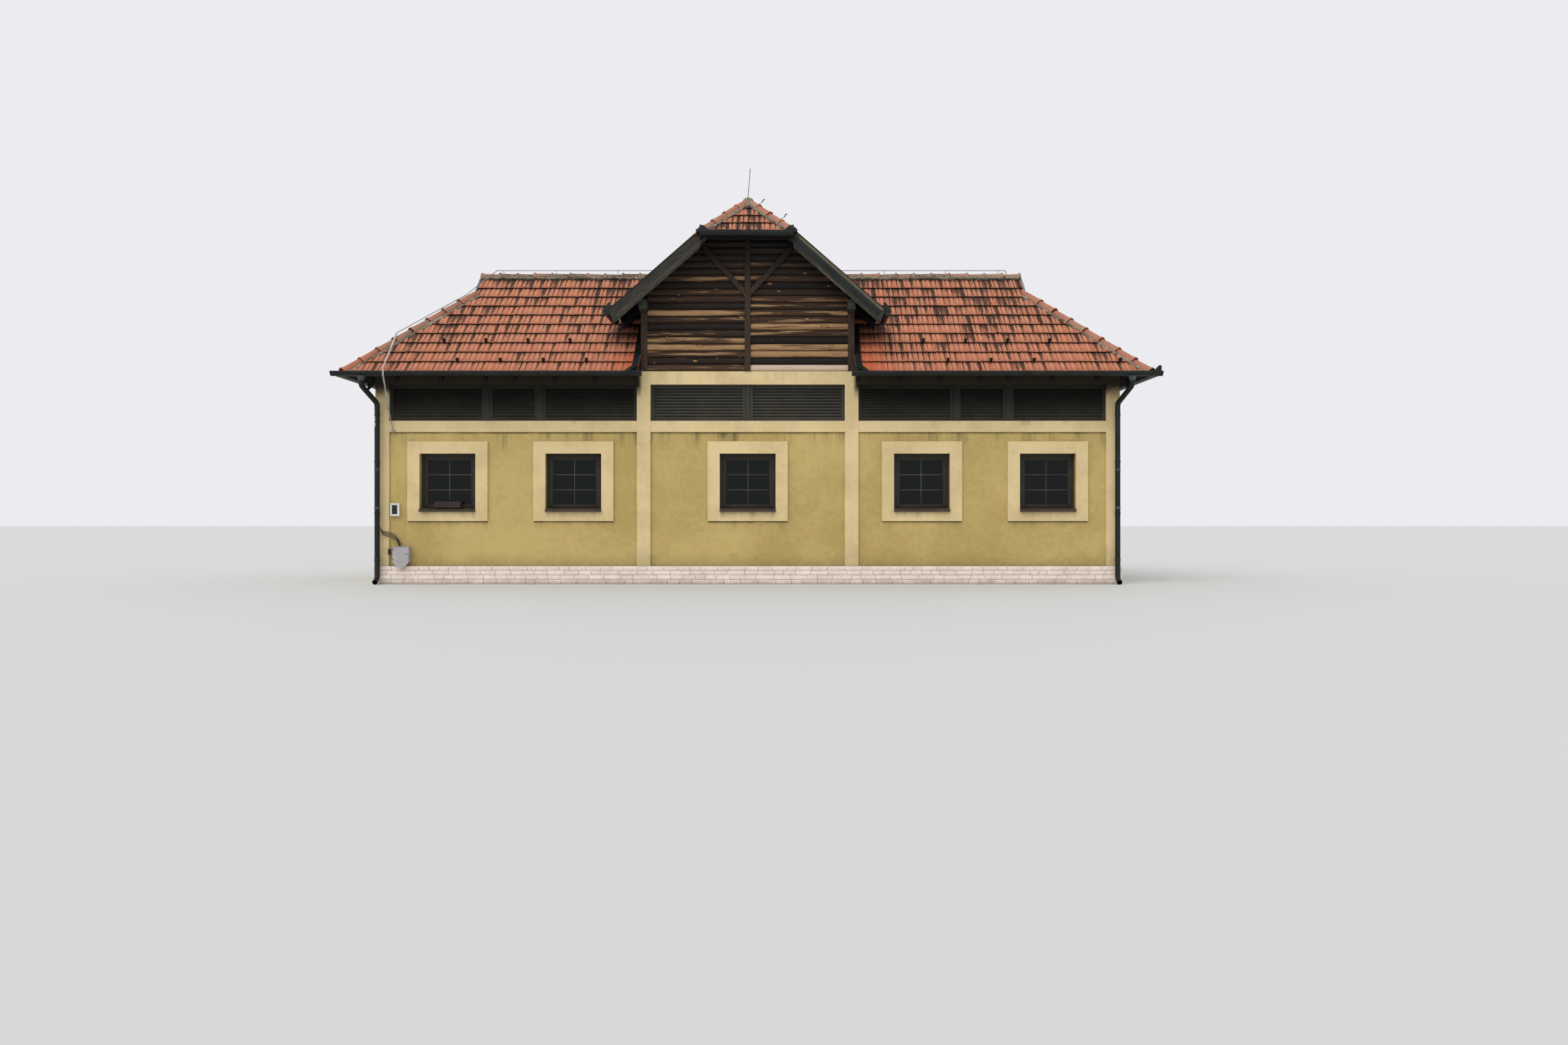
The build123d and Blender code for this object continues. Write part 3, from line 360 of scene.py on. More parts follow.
class ShaderKit:
    """The node groups that several materials share, each built when it is first used."""

    @cached_property
    def patchy(self) -> Group:
        """Two colours in soft patches, with a fine mottling over them."""
        group = Group("patchy tone", {"Pale": MID_GREY, "Dark": MID_GREY, "Patch Scale": 1.0, "Mottle Scale": 20.0,
                                      "Mottle": 0.3}, "Color")
        place, pale, dark, patch_scale, mottle_scale, mottle = group.inputs
        offset = place.cloud(mottle_scale, 3.0, 0.6) - 0.5
        patch = weighted((offset, mottle), base=place.cloud(patch_scale, 5.0, 0.6))
        return group.giving(patch.mask(0.35, 0.68).blend(pale, dark))

    @cached_property
    def runs(self) -> Group:
        """Stains that run down a wall from a given height and fade out; with its streaks switched off it gives the
        painted shadow line under an edge.
        """
        group = Group("stain runs", {"Top": 3.0, "Reach": 0.5, "Width": 5.0, "Low": 0.45, "High": 0.75}, "Mask")
        place, top, reach, width, low, high = group.inputs
        streak = place.stretched(1.0, 1.0, 0.12).cloud(width, 6.0, 0.65)
        below = top - place.axes()[2]
        fade = weighted((place.cloud(3.0), 1.0), base=below / reach).mask(1.5, 0.5)
        return group.giving(fade * below.mask(-0.002, 0.004) * streak.mask(low, high))

    @cached_property
    def pits(self) -> Group:
        """Slanted elongated pits, as a scraped render has them, with a grain between them."""
        group = Group("scraped pits", {"Scale": 14.0, "Share": 0.5, "Size": 0.2}, "Pit", "Height")
        place, scale, share, size = group.inputs
        x, y, z = place.axes()
        sideways = x + y
        slant_out = weighted((sideways, 0.86), (z, -0.5))
        slant_up = weighted((sideways, 0.165), (z, 0.284))
        wobbly = weighted((place.cloud(30.0, 2.0), 0.012), base=slant_out)
        distance, own = joined(wobbly, slant_up).cells(scale)
        radius = own[1] * size
        pit = distance.mask(radius, radius * 0.5) * own[0].math("LESS_THAN", share)
        return group.giving(pit, weighted((place.cloud(260.0, 3.0, 0.7), 0.35), (pit, -1.0)))

    @cached_property
    def grain(self) -> Group:
        """Wood fibre along the first axis of the coordinate, with checks and knots."""
        group = Group("wood grain", {"Fibre Scale": 60.0, "Knot Scale": 2.2, "Knot Size": 0.10},
                      "Fibre", "Check", "Knot", "Knot Ring", "Height")
        place, fibre_scale, knot_scale, knot_size = group.inputs
        distance, own = place.stretched(0.42, 1.0, 1.0).cells(knot_scale)
        size = knot_size * own[0] * own[0] * 1.15
        knot = distance.mask(size, size * 0.55)
        ring = distance.mask(size * 1.5, size)
        bent = place.moved(0.01 / (distance + 0.08))
        fibre = bent.stretched(0.05, 1.0, 1.0).cloud(fibre_scale, 6.0, 0.7)
        check = bent.stretched(0.02, 1.0, 1.0).cloud(55.0, 2.0).mask(0.66, 0.72)
        return group.giving(fibre, check, knot, ring, weighted((fibre, 0.6), (check, -0.9), (knot, 0.5)))

    @cached_property
    def ground_dirt(self) -> Group:
        """Splashed dirt that fades out above the ground."""
        group = Group("ground dirt", {"Base": 0.0, "Reach": 0.4}, "Mask")
        place, base, reach = group.inputs
        above = (place.axes()[2] - base) / reach
        return group.giving(weighted((place.cloud(4.0, 6.0, 0.7), 1.6), base=above).mask(1.8, 0.8))

    @cached_property
    def eave_shade(self) -> Group:
        """The painted shade under the long eaves beside the middle bay."""
        group = Group("eave shade", {"Low": 3.9, "High": 4.3, "Ragged": 0.5}, "Mask")
        place, low, high, raggedness = group.inputs
        x, _, z = place.axes()
        height = weighted((place.cloud(2.6, 6.0, 0.7) - 0.5, raggedness), base=z)
        return group.giving(abs(x).mask(2.24, 2.34) * height.mask(low, high))

    @cached_property
    def by_windows(self) -> Group:
        """A mask that is 1 within a half width of the middle of each window of the long walls."""
        group = Group("by windows", {"Half": 0.7}, "Mask")
        place, half = group.inputs
        aside = abs(place.axes()[0])
        nearest = aside
        for middle in WINDOW_MIDDLES:
            nearest = nearest.math("MINIMUM", abs(aside - middle))
        return group.giving(nearest.mask(half + 0.02, half))


@dataclass(frozen=True)
class Coat:
    """What a finish gives its shader: colour, roughness, relief and further inputs by name."""

    color: Value
    rough: Number
    height: Value
    depth: float
    specular: float = 0.3
    others: dict = field(default_factory=dict)


@dataclass(frozen=True)
class Finish:
    """A finish that can be made into a material of its name."""

    name: str

    def material(self, kit: ShaderKit) -> Material:
        """Make the material: one Principled shader that takes the finish's coat."""
        material = bpy.data.materials.new(self.name)
        material.use_nodes = True
        tree = material.node_tree
        tree.nodes.clear()
        shader = put(tree, "ShaderNodeBsdfPrincipled")
        put(tree, "ShaderNodeOutputMaterial", {"Surface": shader.outputs[0]})
        coat = self.coat(kit, Outputs(put(tree, "ShaderNodeTexCoord"))["Object"])
        bump = put(tree, "ShaderNodeBump", {"Height": coat.height, "Strength": 1.0, "Distance": coat.depth})
        feed(shader, {"Base Color": coat.color, "Roughness": coat.rough, "Specular IOR Level": coat.specular,
                      "Normal": bump.outputs[0], **coat.others})
        return material

    def coat(self, kit: ShaderKit, place: Value) -> Coat:
        """Work out the coat from the object coordinate."""
        raise NotImplementedError


@dataclass(frozen=True)
class WallRender(Finish):
    """Coloured render with scraped pits, stained under the band and the window surrounds, with a painted shadow line
    right under them.
    """

    pale: tuple = srgb(202, 178, 116)
    dark: tuple = srgb(184, 160, 100)
    stain: tuple = srgb(98, 92, 62)
    # edge is the colour of the painted shadow line under the band and the surrounds
    edge: tuple = srgb(38, 40, 26)
    pit: tuple = srgb(112, 96, 58)
    band_bottom: float = 3.26
    surround_bottom: float = 1.35
    surround_half: float = 0.845
    shadow_line_reach: float = 0.045

    def coat(self, kit: ShaderKit, place: Value) -> Coat:
        """Work out the coat."""
        tone = kit.patchy(place, self.pale, self.dark, 0.55, 9.0, 0.35)["Color"]
        pit, height = kit.pits(place, 46.0, 0.75, 0.15)
        under_band = kit.runs(place, self.band_bottom, 0.46, 3.4, 0.46, 0.74)["Mask"]
        under_window = kit.runs(place, self.surround_bottom, 0.26, 5.0, 0.42, 0.80)["Mask"]
        near = kit.by_windows(place, self.surround_half)["Mask"]
        # Painted shadow: a thin dark line right under the band and under the window surrounds
        band_shadow_line, window_shadow_line = (kit.runs(place, top, self.shadow_line_reach, 5.0, -1.0, 0.0)["Mask"]
                                  for top in (self.band_bottom, self.surround_bottom))
        blot = place.stretched(1.0, 1.0, 0.55).cloud(0.9, 7.0, 0.7).mask(0.60, 0.78)
        damp = kit.ground_dirt(place, PLINTH_TOP, 0.35)["Mask"]
        grime = strongest(under_band * 0.85, under_window * near * 0.6, blot * 0.26, damp * 0.22)
        painted_shadow_line = strongest(band_shadow_line, window_shadow_line * near)
        color = layered(tone, (pit * 0.55, self.pit), (grime, self.stain), (painted_shadow_line * 0.8, self.edge))
        return Coat(color, 0.95, height, 0.0035, 0.25)


@dataclass(frozen=True)
class CreamPlaster(Finish):
    """Smooth cream plaster with soft grey dirt, hairlines and runs under its edges, and painted shade under the eaves
    beside the middle bay.
    """

    pale: tuple = srgb(228, 205, 156)
    dark: tuple = srgb(212, 189, 141)
    stain: tuple = srgb(128, 118, 92)
    soot: tuple = srgb(7, 8, 6)
    sill_half: float = 0.58

    def coat(self, kit: ShaderKit, place: Value) -> Coat:
        """Work out the coat."""
        tone = kit.patchy(place, self.pale, self.dark, 1.1, 14.0, 0.3)["Color"]
        under_eave, under_sill, under_band = (kit.runs(place, *run)["Mask"] for run in (
            (4.60, 0.5, 4.0, 0.44, 0.74), (1.56, 0.22, 6.0, 0.40, 0.70), (3.51, 0.16, 3.0, 0.50, 0.74)))
        under_sill = under_sill * kit.by_windows(place, self.sill_half)["Mask"]
        blot = place.cloud(1.7, 7.0, 0.72).mask(0.58, 0.80)
        foot = kit.ground_dirt(place, PLINTH_TOP, 0.5)["Mask"]
        grime = strongest(under_eave * 0.45, under_sill * 0.50, under_band * 0.45, blot * 0.32, foot * 0.25)
        # Painted shade: near black under the long eaves, on the beam and the pilaster tops beside the middle bay
        shade = kit.eave_shade(place, 3.90, 4.27, 0.35)["Mask"]
        color = layered(tone, (grime, self.stain), (shade * 0.96, self.soot))
        relief = weighted((place.cloud(190.0, 4.0, 0.6), 0.3), base=place.cloud(5.0, 3.0, 0.5))
        return Coat(color, 0.9, relief, 0.0022)


@dataclass(frozen=True)
class ClayTile(Finish):
    """Fired clay with lichen in the flutes, a tone of its own for each tile, a painted shadow along each lower edge and
    painted shade under the cross gutters.
    """

    fresh: tuple = srgb(206, 124, 86)
    faded: tuple = srgb(190, 124, 96)
    red: tuple = srgb(180, 100, 74)
    new: tuple = srgb(198, 96, 58)
    crust: tuple = srgb(170, 158, 142)
    rib: tuple = srgb(218, 152, 120)
    lichen: tuple = srgb(50, 40, 34)
    flute: tuple = srgb(138, 76, 55)
    dust: tuple = srgb(168, 134, 116)
    shadow: tuple = srgb(22, 17, 14)
    low_rows: float = 4.5
    high_rows: float = 7.2
    streak_row: float = 0.060
    laid: bool = True

    @staticmethod
    def _cross_gutter_shadow(place: Value) -> Value:
        """The strip of tiles that the cross gutters keep in the dark, which gets a painted shadow."""
        x, _, z = place.axes()
        return abs(x).mask(3.25, 2.75) * z.mask(5.10, 5.45) * z.mask(5.80, 5.70)

    def coat(self, kit: ShaderKit, place: Value) -> Coat:
        """Work out the coat."""
        tone, trough, newness, run = map(place.attribute, ("tone", "trough", "newness", "run"))
        rise = place.axes()[2].mask(self.low_rows, self.high_rows)
        fine = place.cloud(30.0, 5.0, 0.65)
        fleck = place.cloud(75.0, 3.0, 0.7)
        base = layered(self.fresh, (weighted((tone, 0.7), (fine, 0.3)), self.faded),
                       (rise.mask(0.36, 0.02) * 0.35, self.red), (newness, self.new),
                       (fleck.mask(0.50, 0.62) * 0.35, self.flute))
        if self.laid:
            across = place.attribute("column") + place.attribute("side")
            upward = place.attribute("row") + run
            along = joined(across * TILE_WIDTH, upward * self.streak_row)
            deep = trough * trough
            ribbed = weighted((trough, -0.34), base=0.34) * weighted((newness, -0.8), base=1.0)
            base = layered(base, (deep * weighted((newness, -0.35), base=0.50), self.flute), (ribbed, self.rib))
        else:
            along = place.stretched(0.7, 0.7, 0.7)
        streak = along.cloud(40.0, 4.0, 0.70)
        aged = tone.mask(0.74, 0.92) * rise
        growth = weighted((place.cloud(0.62, 5.0, 0.62), 0.42), (streak, 0.62), (aged, 0.10), (fleck, 0.20),
                          (rise, 0.08), (newness, -0.24), base=-0.10)
        if self.laid:
            luck = joined((across * 2.0).math("FLOOR"), place.attribute("row")).luck("2D", "Vector")
            growth = weighted((luck, 0.32), (deep, 0.26), (run, 0.20), (fleck, 0.36), (streak, -0.20),
                              base=growth - 0.322)
        mask = growth.mask(0.655, 0.755)
        dusty = place.cloud(7.0, 6.0, 0.7).mask(0.52, 0.72)
        spots = place.cloud(21.0, 5.0, 0.75).mask(0.60, 0.68) * mask * rise
        color = layered(base, (weighted((dusty * newness, -0.35), (dusty, 0.35)), self.dust),
                        (mask * 0.92, self.lichen), (spots * 0.6, self.crust))
        # Painted shadow: near black along each tile's lower edge and front face, and darker on the strip under the
        # cross gutters
        if self.laid:
            dark = strongest(run.mask(0.026, 0.014) * 0.94, self._cross_gutter_shadow(place) * 0.70)
            color = dark.blend(color, self.shadow)
        relief = weighted((place.cloud(140.0, 3.0, 0.6), 0.4), base=mask)
        return Coat(color, weighted((mask, 0.16), base=0.74), relief, 0.0016)


@dataclass(frozen=True)
class Timber(Finish):
    """Stained timber, worn to bare wood in streaks along the grain, with painted shade higher up on the gable."""

    stain_dark: tuple = srgb(22, 17, 14)
    stain_brown: tuple = srgb(74, 51, 35)
    night: tuple = srgb(13, 11, 9)
    bare: tuple = srgb(212, 168, 120)
    knot: tuple = srgb(172, 124, 80)
    pale: tuple = srgb(206, 184, 162)
    along: tuple = (1.0, 0.0, 0.0)
    bare_low: float = 0.54
    bare_high: float = 0.65
    knot_size: float = 0.05
    mirrored: bool = False
    course: float = 0.0
    course_base: float = 4.56
    shade_low: float = 5.0
    shade_high: float = 7.6
    top_shade: float = 0.0

    def _lengthwise(self, place: Value) -> Value:
        """Turn the coordinate so that its first axis runs along the grain."""
        direction = Vector(self.along).normalized()
        across = Vector((0.0, 0.0, 1.0)).cross(direction)
        if across.length < 0.1:
            across = Vector((1.0, 0.0, 0.0))
        across.normalize()
        upward = direction.cross(across)
        if abs(across.y) > 0.9:
            across, upward = upward, across
        return joined(*(place.node("ShaderNodeVectorMath", {0: place, 1: tuple(axis)}, operation="DOT_PRODUCT")["Value"]
                        for axis in (direction, across, upward)))

    def coat(self, kit: ShaderKit, place: Value) -> Coat:
        """Work out the coat."""
        if self.mirrored:
            place = place.node("ShaderNodeVectorMath", {0: place}, operation="ABSOLUTE")[0]
        x, y, z = place.axes()
        grain_place = self._lengthwise(place)
        per_board, worn, spread = 0.5, 0.0, 0.11
        if self.course:
            spread = 0.25
            share = weighted((z, 1.0 / self.course), base=-self.course_base / self.course)
            index = share.math("FLOOR")
            seed = weighted(((x * 0.4).math("FLOOR"), 31.7), base=index)
            per_board = seed.luck("1D", "W")
            slide = seed * 7.31
            grain_place = grain_place.moved(joined(slide, slide))
            off_middle = abs(share.math("FRACT") - 0.52)
            lowest = index.math("LESS_THAN", 0.5) * y.math("LESS_THAN", 0.0)
            right = x.math("GREATER_THAN", 0.05)
            # Fewer bare streaks between shade_low and shade_high are painted shade; the other terms are wear
            worn = weighted((off_middle, -0.20), (z.mask(self.shade_low, self.shade_high), -0.15), (per_board, 0.32),
                            (lowest, weighted((right, 0.34), base=-0.16)), base=-0.055)
        fibre, check, knot, ring, height = kit.grain(grain_place, 60.0, 3.4, self.knot_size)
        broad = grain_place.stretched(0.07, 1.0, 1.0).cloud(10.0, 5.0, 0.6)
        brown = weighted((fibre, 0.45), (per_board, 0.55)).mask(0.5 - spread, 0.5 + spread)
        bare = weighted((broad, 0.75), (fibre, 0.20), base=worn).mask(self.bare_low, self.bare_high)
        color = layered(self.stain_dark, (brown, self.stain_brown), (bare, fibre.blend(self.bare, self.stain_brown)),
                        (ring * 0.55, self.stain_dark), (knot * 0.85, self.knot), (check * 0.8, self.stain_dark))
        if self.course:
            color = layered(color, (lowest * right * broad.mask(0.25, 0.45), self.pale),
                            (off_middle.mask(0.41, 0.48) * 0.9, self.stain_dark))
        # Painted shade: near black high on the gable, under the cross roof's overhang
        if self.top_shade:
            color = (z.mask(6.1, 7.2) * self.top_shade).blend(color, self.night)
        return Coat(color, 0.78, height, 0.004)


@dataclass(frozen=True)
class SheetMetal(Finish):
    """Painted or bare sheet with dust, water marks and slight waves."""

    paint: tuple = srgb(12, 18, 17)
    worn: tuple = srgb(25, 33, 31)
    dust: tuple = srgb(104, 104, 96)
    gloss: float = 0.46
    metal: float = 0.0
    dusty: float = 0.09

    def coat(self, kit: ShaderKit, place: Value) -> Coat:
        """Work out the coat."""
        film = place.stretched(1.0, 1.0, 0.3).cloud(16.0, 6.0, 0.7).mask(0.50, 0.78)
        tone = kit.patchy(place, self.paint, self.worn, 2.6, 40.0, 0.4)["Color"]
        waves = weighted((place.cloud(120.0), 0.08), base=place.cloud(6.0, 2.0, 0.5))
        return Coat((film * self.dusty).blend(tone, self.dust), weighted((film, 0.3), base=self.gloss), waves, 0.004,
                    others={"Metallic": self.metal})


@dataclass(frozen=True)
class PaintedWood(Finish):
    """Opaque brown stain on planed wood, slightly glossy, dusty and dull in places, with painted shade under the eaves
    and towards the top where shaded is set.
    """

    paint: tuple = srgb(42, 37, 32)
    worn: tuple = srgb(56, 50, 43)
    shade: tuple = srgb(9, 9, 7)
    fibre_scale: tuple = (14.0, 14.0, 1.0)
    gloss: float = 0.5
    shaded: float = 0.0

    def coat(self, kit: ShaderKit, place: Value) -> Coat:
        """Work out the coat."""
        fibre = place.stretched(*self.fibre_scale).cloud(9.0, 5.0, 0.65)
        mask = weighted((fibre, 0.45), (place.cloud(2.2, 5.0, 0.6), 0.55)).mask(0.42, 0.66)
        color = mask.blend(self.paint, self.worn)
        # Painted shade: darker under the long eaves beside the middle bay and towards the top of the louvres
        if self.shaded:
            shade = kit.eave_shade(place, 3.3, 4.15, 0.1)["Mask"]
            dark = strongest(shade * self.shaded, place.axes()[2].mask(3.5, 4.4) * 0.45)
            color = dark.blend(color, self.shade)
        return Coat(color, weighted((mask, 0.2), base=self.gloss), fibre, 0.0012)


@dataclass(frozen=True)
class WindowGlass(Finish):
    """Clear double glazing coloured near black as painted shade of the unlit rooms behind, with a film of dust near the
    edges.
    """

    tint: tuple = srgb(22, 32, 31)
    film: tuple = srgb(84, 92, 88)

    def coat(self, kit: ShaderKit, place: Value) -> Coat:
        """Work out the coat."""
        dust = place.stretched(1.0, 1.0, 0.6).cloud(3.0, 7.0, 0.7).mask(0.52, 0.85)
        # The dark base colour is painted shade of the rooms behind the glass
        return Coat((dust * 0.10).blend(self.tint, self.film), weighted((dust, 0.12), base=0.03),
                    place.cloud(1.6, 1.0, 0.4), 0.004, 0.5, {"Transmission Weight": 0.7, "IOR": 1.28})


@dataclass(frozen=True)
class PaintedStone(Finish):
    """Split stone under a chalky white paint, with dirt in the joints and splashes at its foot."""

    pale: tuple = srgb(248, 234, 224)
    dark: tuple = srgb(236, 218, 206)
    dirt: tuple = srgb(134, 118, 100)
    rust: tuple = srgb(196, 160, 116)

    def coat(self, kit: ShaderKit, place: Value) -> Coat:
        """Work out the coat."""
        tone = kit.patchy(place, self.pale, self.dark, 3.0, 26.0, 0.5)["Color"]
        warm = place.cloud(0.9, 6.0, 0.7).mask(0.62, 0.80)
        splash = kit.ground_dirt(place, 0.0, 0.13)["Mask"]
        color = layered(tone, (place.attribute("tone") * 0.14, self.dirt), (warm * 0.5, self.rust),
                        (splash * 0.55, self.dirt))
        return Coat(color, 0.92, place.cloud(38.0, 6.0, 0.7), 0.006, 0.5)


@dataclass(frozen=True)
class Mortar(Finish):
    """Grey cement mortar with moss in its hollows."""

    pale: tuple = srgb(162, 156, 142)
    dark: tuple = srgb(84, 82, 70)
    moss: tuple = srgb(62, 60, 48)

    def coat(self, kit: ShaderKit, place: Value) -> Coat:
        """Work out the coat."""
        tone = kit.patchy(place, self.pale, self.dark, 4.0, 44.0, 0.7)["Color"]
        moss = place.cloud(11.0, 6.0, 0.75).mask(0.48, 0.62)
        return Coat((moss * 0.75).blend(tone, self.moss), 0.95, place.cloud(60.0, 5.0, 0.7), 0.006, 0.5)


# Mesh helpers


def mesh_of(name: str, bm: BMesh) -> Mesh:
    """Turn a bmesh into a mesh and free it."""
    mesh = bpy.data.meshes.new(name)
    bm.to_mesh(mesh)
    bm.free()
    return mesh


def merge(whole: BMesh, part: Union[BMesh, Mesh]) -> None:
    """Move a part into a whole mesh."""
    mesh = mesh_of("part", part) if isinstance(part, BMesh) else part
    whole.from_mesh(mesh)
    bpy.data.meshes.remove(mesh)


def linked(name: str, data: bpy.types.ID) -> bpy.types.Object:
    """Put a mesh, curve, lamp or camera into the scene."""
    made = bpy.data.objects.new(name, data)
    bpy.context.scene.collection.objects.link(made)
    return made


def wear(mesh: Mesh, look: Material) -> None:
    """Make a material the only one of a mesh."""
    mesh.materials.clear()
    mesh.materials.append(look)


def finish_mesh(name: str, mesh: Mesh, look: Material, slot: str, stands_for: Sequence[str] = ()) -> None:
    """Link a mesh as a piece that rides the building.

    Args:
        name: The piece's name.
        mesh: Its mesh.
        look: Its material.
        slot: The record's slot that it takes its finish from.
        stands_for: The nodes that it replaces.
    """
    wear(mesh, look)
    piece = linked(name, mesh)
    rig.ride(piece, BODY)
    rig.slot(piece, slot)
    if stands_for:
        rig.replaces(piece, *stands_for)
    LOG.info("%s: %d faces", name, len(mesh.polygons))


def finish_piece(name: str, bm: BMesh, look: Material, slot: str, stands_for: Sequence[str] = ()) -> None:
    """Turn a bmesh into a piece of the building, as finish_mesh does with a mesh."""
    finish_mesh(name, mesh_of(name, bm), look, slot, stands_for)


def finish_copies(name: str, bm: BMesh, places: Sequence[Matrix], look: Material, slot: str,
                  stands_for: Sequence[str] = (), values: Optional[dict] = None) -> None:
    """Turn copies of a small bmesh at the given places into one piece of the building."""
    finish_mesh(name, joined_copies(name, mesh_of(name, bm), places, values or {}), look, slot, stands_for)


def shift(place: Sequence[float]) -> Matrix:
    """Return the matrix of a move."""
    return Matrix.Translation(place)


def rotation(angle: float, axis: str) -> Matrix:
    """Return the matrix of a turn about an axis of the frame."""
    return Matrix.Rotation(angle, 4, axis)


def frame_of(origin: Vector, *axes: Vector) -> Matrix:
    """Return the matrix of a frame with its own origin and three axes."""
    frame = Matrix(axes).transposed().to_4x4()
    frame.translation = origin
    return frame


def add_box(bm: BMesh, size: Sequence[float], place: Matrix, bevel: float = 0.0) -> list:
    """Add a box round a place that may be turned, with its edges eased.

    Args:
        bm: The mesh that gets the box.
        size: Its three lengths.
        place: Where its middle goes and how it is turned.
        bevel: The width of the eased edges.

    Returns:
        The box's new vertices.
    """
    matrix = place @ Matrix.Diagonal((size[0], size[1], size[2], 1.0))
    made = bmesh.ops.create_cube(bm, size=1.0, matrix=matrix)["verts"]
    if bevel <= 0:
        return made
    edges = list({edge for vert in made for edge in vert.link_edges})
    result = bmesh.ops.bevel(bm, geom=edges, offset=bevel, offset_type="OFFSET", segments=1, profile=0.5,
                             affect="EDGES", material=-1)
    return result["verts"]


def add_block(bm: BMesh, low: Sequence[float], high: Sequence[float], bevel: float = 0.0) -> list:
    """Add a box between two corners and return its new vertices."""
    return add_box(bm, Vector(high) - Vector(low), shift((Vector(high) + Vector(low)) / 2), bevel)


def add_plates(bm: BMesh, depth: tuple[float, float], bevel: float, *spans: Sequence[float]) -> None:
    """Add upright plates that share their depth along Y; each has its start and end along X and along Z."""
    for x0, x1, z0, z1 in spans:
        add_block(bm, (x0, depth[0], z0), (x1, depth[1], z1), bevel)


def add_frame(bm: BMesh, outer: Sequence[float], inner: Sequence[float], depth: tuple[float, float],
              bevel: float) -> None:
    """Add a frame of two uprights with two rails between them, with spans like a plate's."""
    x0, x1, z0, z1 = outer
    left, right, low, high = inner
    add_plates(bm, depth, bevel, (x0, left, z0, z1), (right, x1, z0, z1), (left, right, z0, low),
               (left, right, high, z1))


def _copied(bm: BMesh) -> tuple[list, list]:
    """Duplicate a whole mesh and return the copy's vertices and faces."""
    made = bmesh.ops.duplicate(bm, geom=bm.verts[:] + bm.edges[:] + bm.faces[:])["geom"]
    return ([item for item in made if isinstance(item, bmesh.types.BMVert)],
            [item for item in made if isinstance(item, bmesh.types.BMFace)])


def mirror(bm: BMesh, verts: list, faces: list) -> None:
    """Mirror some of a mesh about the middle of the facade."""
    bmesh.ops.scale(bm, verts=verts, vec=(-1.0, 1.0, 1.0))
    bmesh.ops.reverse_faces(bm, faces=faces)


def add_mirrored(bm: BMesh) -> None:
    """Add the mirror image of a whole mesh about the middle of the facade."""
    mirror(bm, *_copied(bm))


def add_turned(bm: BMesh) -> None:
    """Add a whole mesh again, turned half round the middle of the building."""
    verts, _ = _copied(bm)
    bmesh.ops.rotate(bm, verts=verts, cent=(0.0, 0.0, 0.0), matrix=Matrix.Rotation(math.pi, 3, "Z"))


def add_rod(bm: BMesh, start: Sequence[float], end: Sequence[float], radius: float,
            sides: int = 8, end_radius: Optional[float] = None) -> list:
    """Add a round rod between two points and return its vertices."""
    first = Vector(start)
    line = Vector(end) - first
    turn = line.to_track_quat("Z", "Y").to_matrix().to_4x4()
    matrix = Matrix.Translation(first + line / 2) @ turn
    made = bmesh.ops.create_cone(bm, cap_ends=True, segments=sides, radius1=radius,
                                 radius2=radius if end_radius is None else end_radius,
                                 depth=line.length, matrix=matrix)
    return made["verts"]


def spin_sheet(bm: BMesh, angle: float, steps: int, thickness: float) -> None:
    """Spin a profile about X into a sheet and thicken it."""
    bmesh.ops.spin(bm, geom=bm.verts[:] + bm.edges[:], cent=(0, 0, 0), axis=(1, 0, 0), dvec=(0, 0, 0), angle=angle,
                   steps=steps, use_merge=False, use_duplicate=False)
    bmesh.ops.recalc_face_normals(bm, faces=bm.faces[:])
    bmesh.ops.solidify(bm, geom=bm.faces[:], thickness=thickness)
    bmesh.ops.recalc_face_normals(bm, faces=bm.faces[:])


def clear_outside(bm: BMesh, cuts: Sequence[Cut]) -> None:
    """Cut a mesh along planes, drop what lies on their normals' side and close the cut ends."""
    for point, normal in cuts:
        geometry = bm.verts[:] + bm.edges[:] + bm.faces[:]
        bmesh.ops.bisect_plane(bm, geom=geometry, dist=1e-6, plane_co=point, plane_no=normal, clear_outer=True)
        rims = [edge for edge in bm.edges if edge.is_boundary]
        if rims:
            bmesh.ops.holes_fill(bm, edges=rims, sides=0)


def _read(items: Sequence, key: str, kind: type, size: int = 1) -> np.ndarray:
    """Read one property of all items of a mesh into an array."""
    numbers = np.empty(len(items) * size, dtype=kind)
    items.foreach_get(key, numbers)
    return numbers


def joined_copies(name: str, prototype: Mesh, places: Sequence[Matrix],
                  values: dict[str, Sequence[float]]) -> Mesh:
    """Join copies of a small mesh into one, as an array does, with a value of its own for each copy.

    Args:
        name: The new mesh's name.
        prototype: The mesh that is repeated.
        places: Where each copy goes.
        values: Attribute names with one number for each copy.

    Returns:
        The joined mesh.
    """
    count = len(prototype.vertices)
    copies = np.arange(len(places))[:, None]
    local = np.c_[_read(prototype.vertices, "co", float, 3).reshape(-1, 3), np.ones(count)]
    points = np.einsum("nij,vj->nvi", np.array([np.array(place) for place in places]), local)[:, :, :3]
    corners = _read(prototype.loops, "vertex_index", np.int32)
    starts = _read(prototype.polygons, "loop_start", np.int32)
    mesh = bpy.data.meshes.new(name)
    for items, key, numbers, size in ((mesh.vertices, "co", points.astype(np.float32), 3),
                                      (mesh.loops, "vertex_index", corners + copies * count, 1),
                                      (mesh.polygons, "loop_start", starts + copies * len(corners), 1)):
        items.add(numbers.size // size)
        items.foreach_set(key, np.ascontiguousarray(numbers, numbers.dtype).ravel())
    own = {source.name: np.tile(_read(source.data, "value", np.float32), len(places))
           for source in prototype.attributes if source.data_type == "FLOAT" and source.domain == "POINT"}
    each = {label: np.repeat(np.asarray(numbers, dtype=np.float32), count) for label, numbers in values.items()}
    for label, numbers in {**each, **own}.items():
        mesh.attributes.new(label, "FLOAT", "POINT").data.foreach_set("value", numbers)
    mesh.update(calc_edges=True)
    mesh.validate()
    return mesh


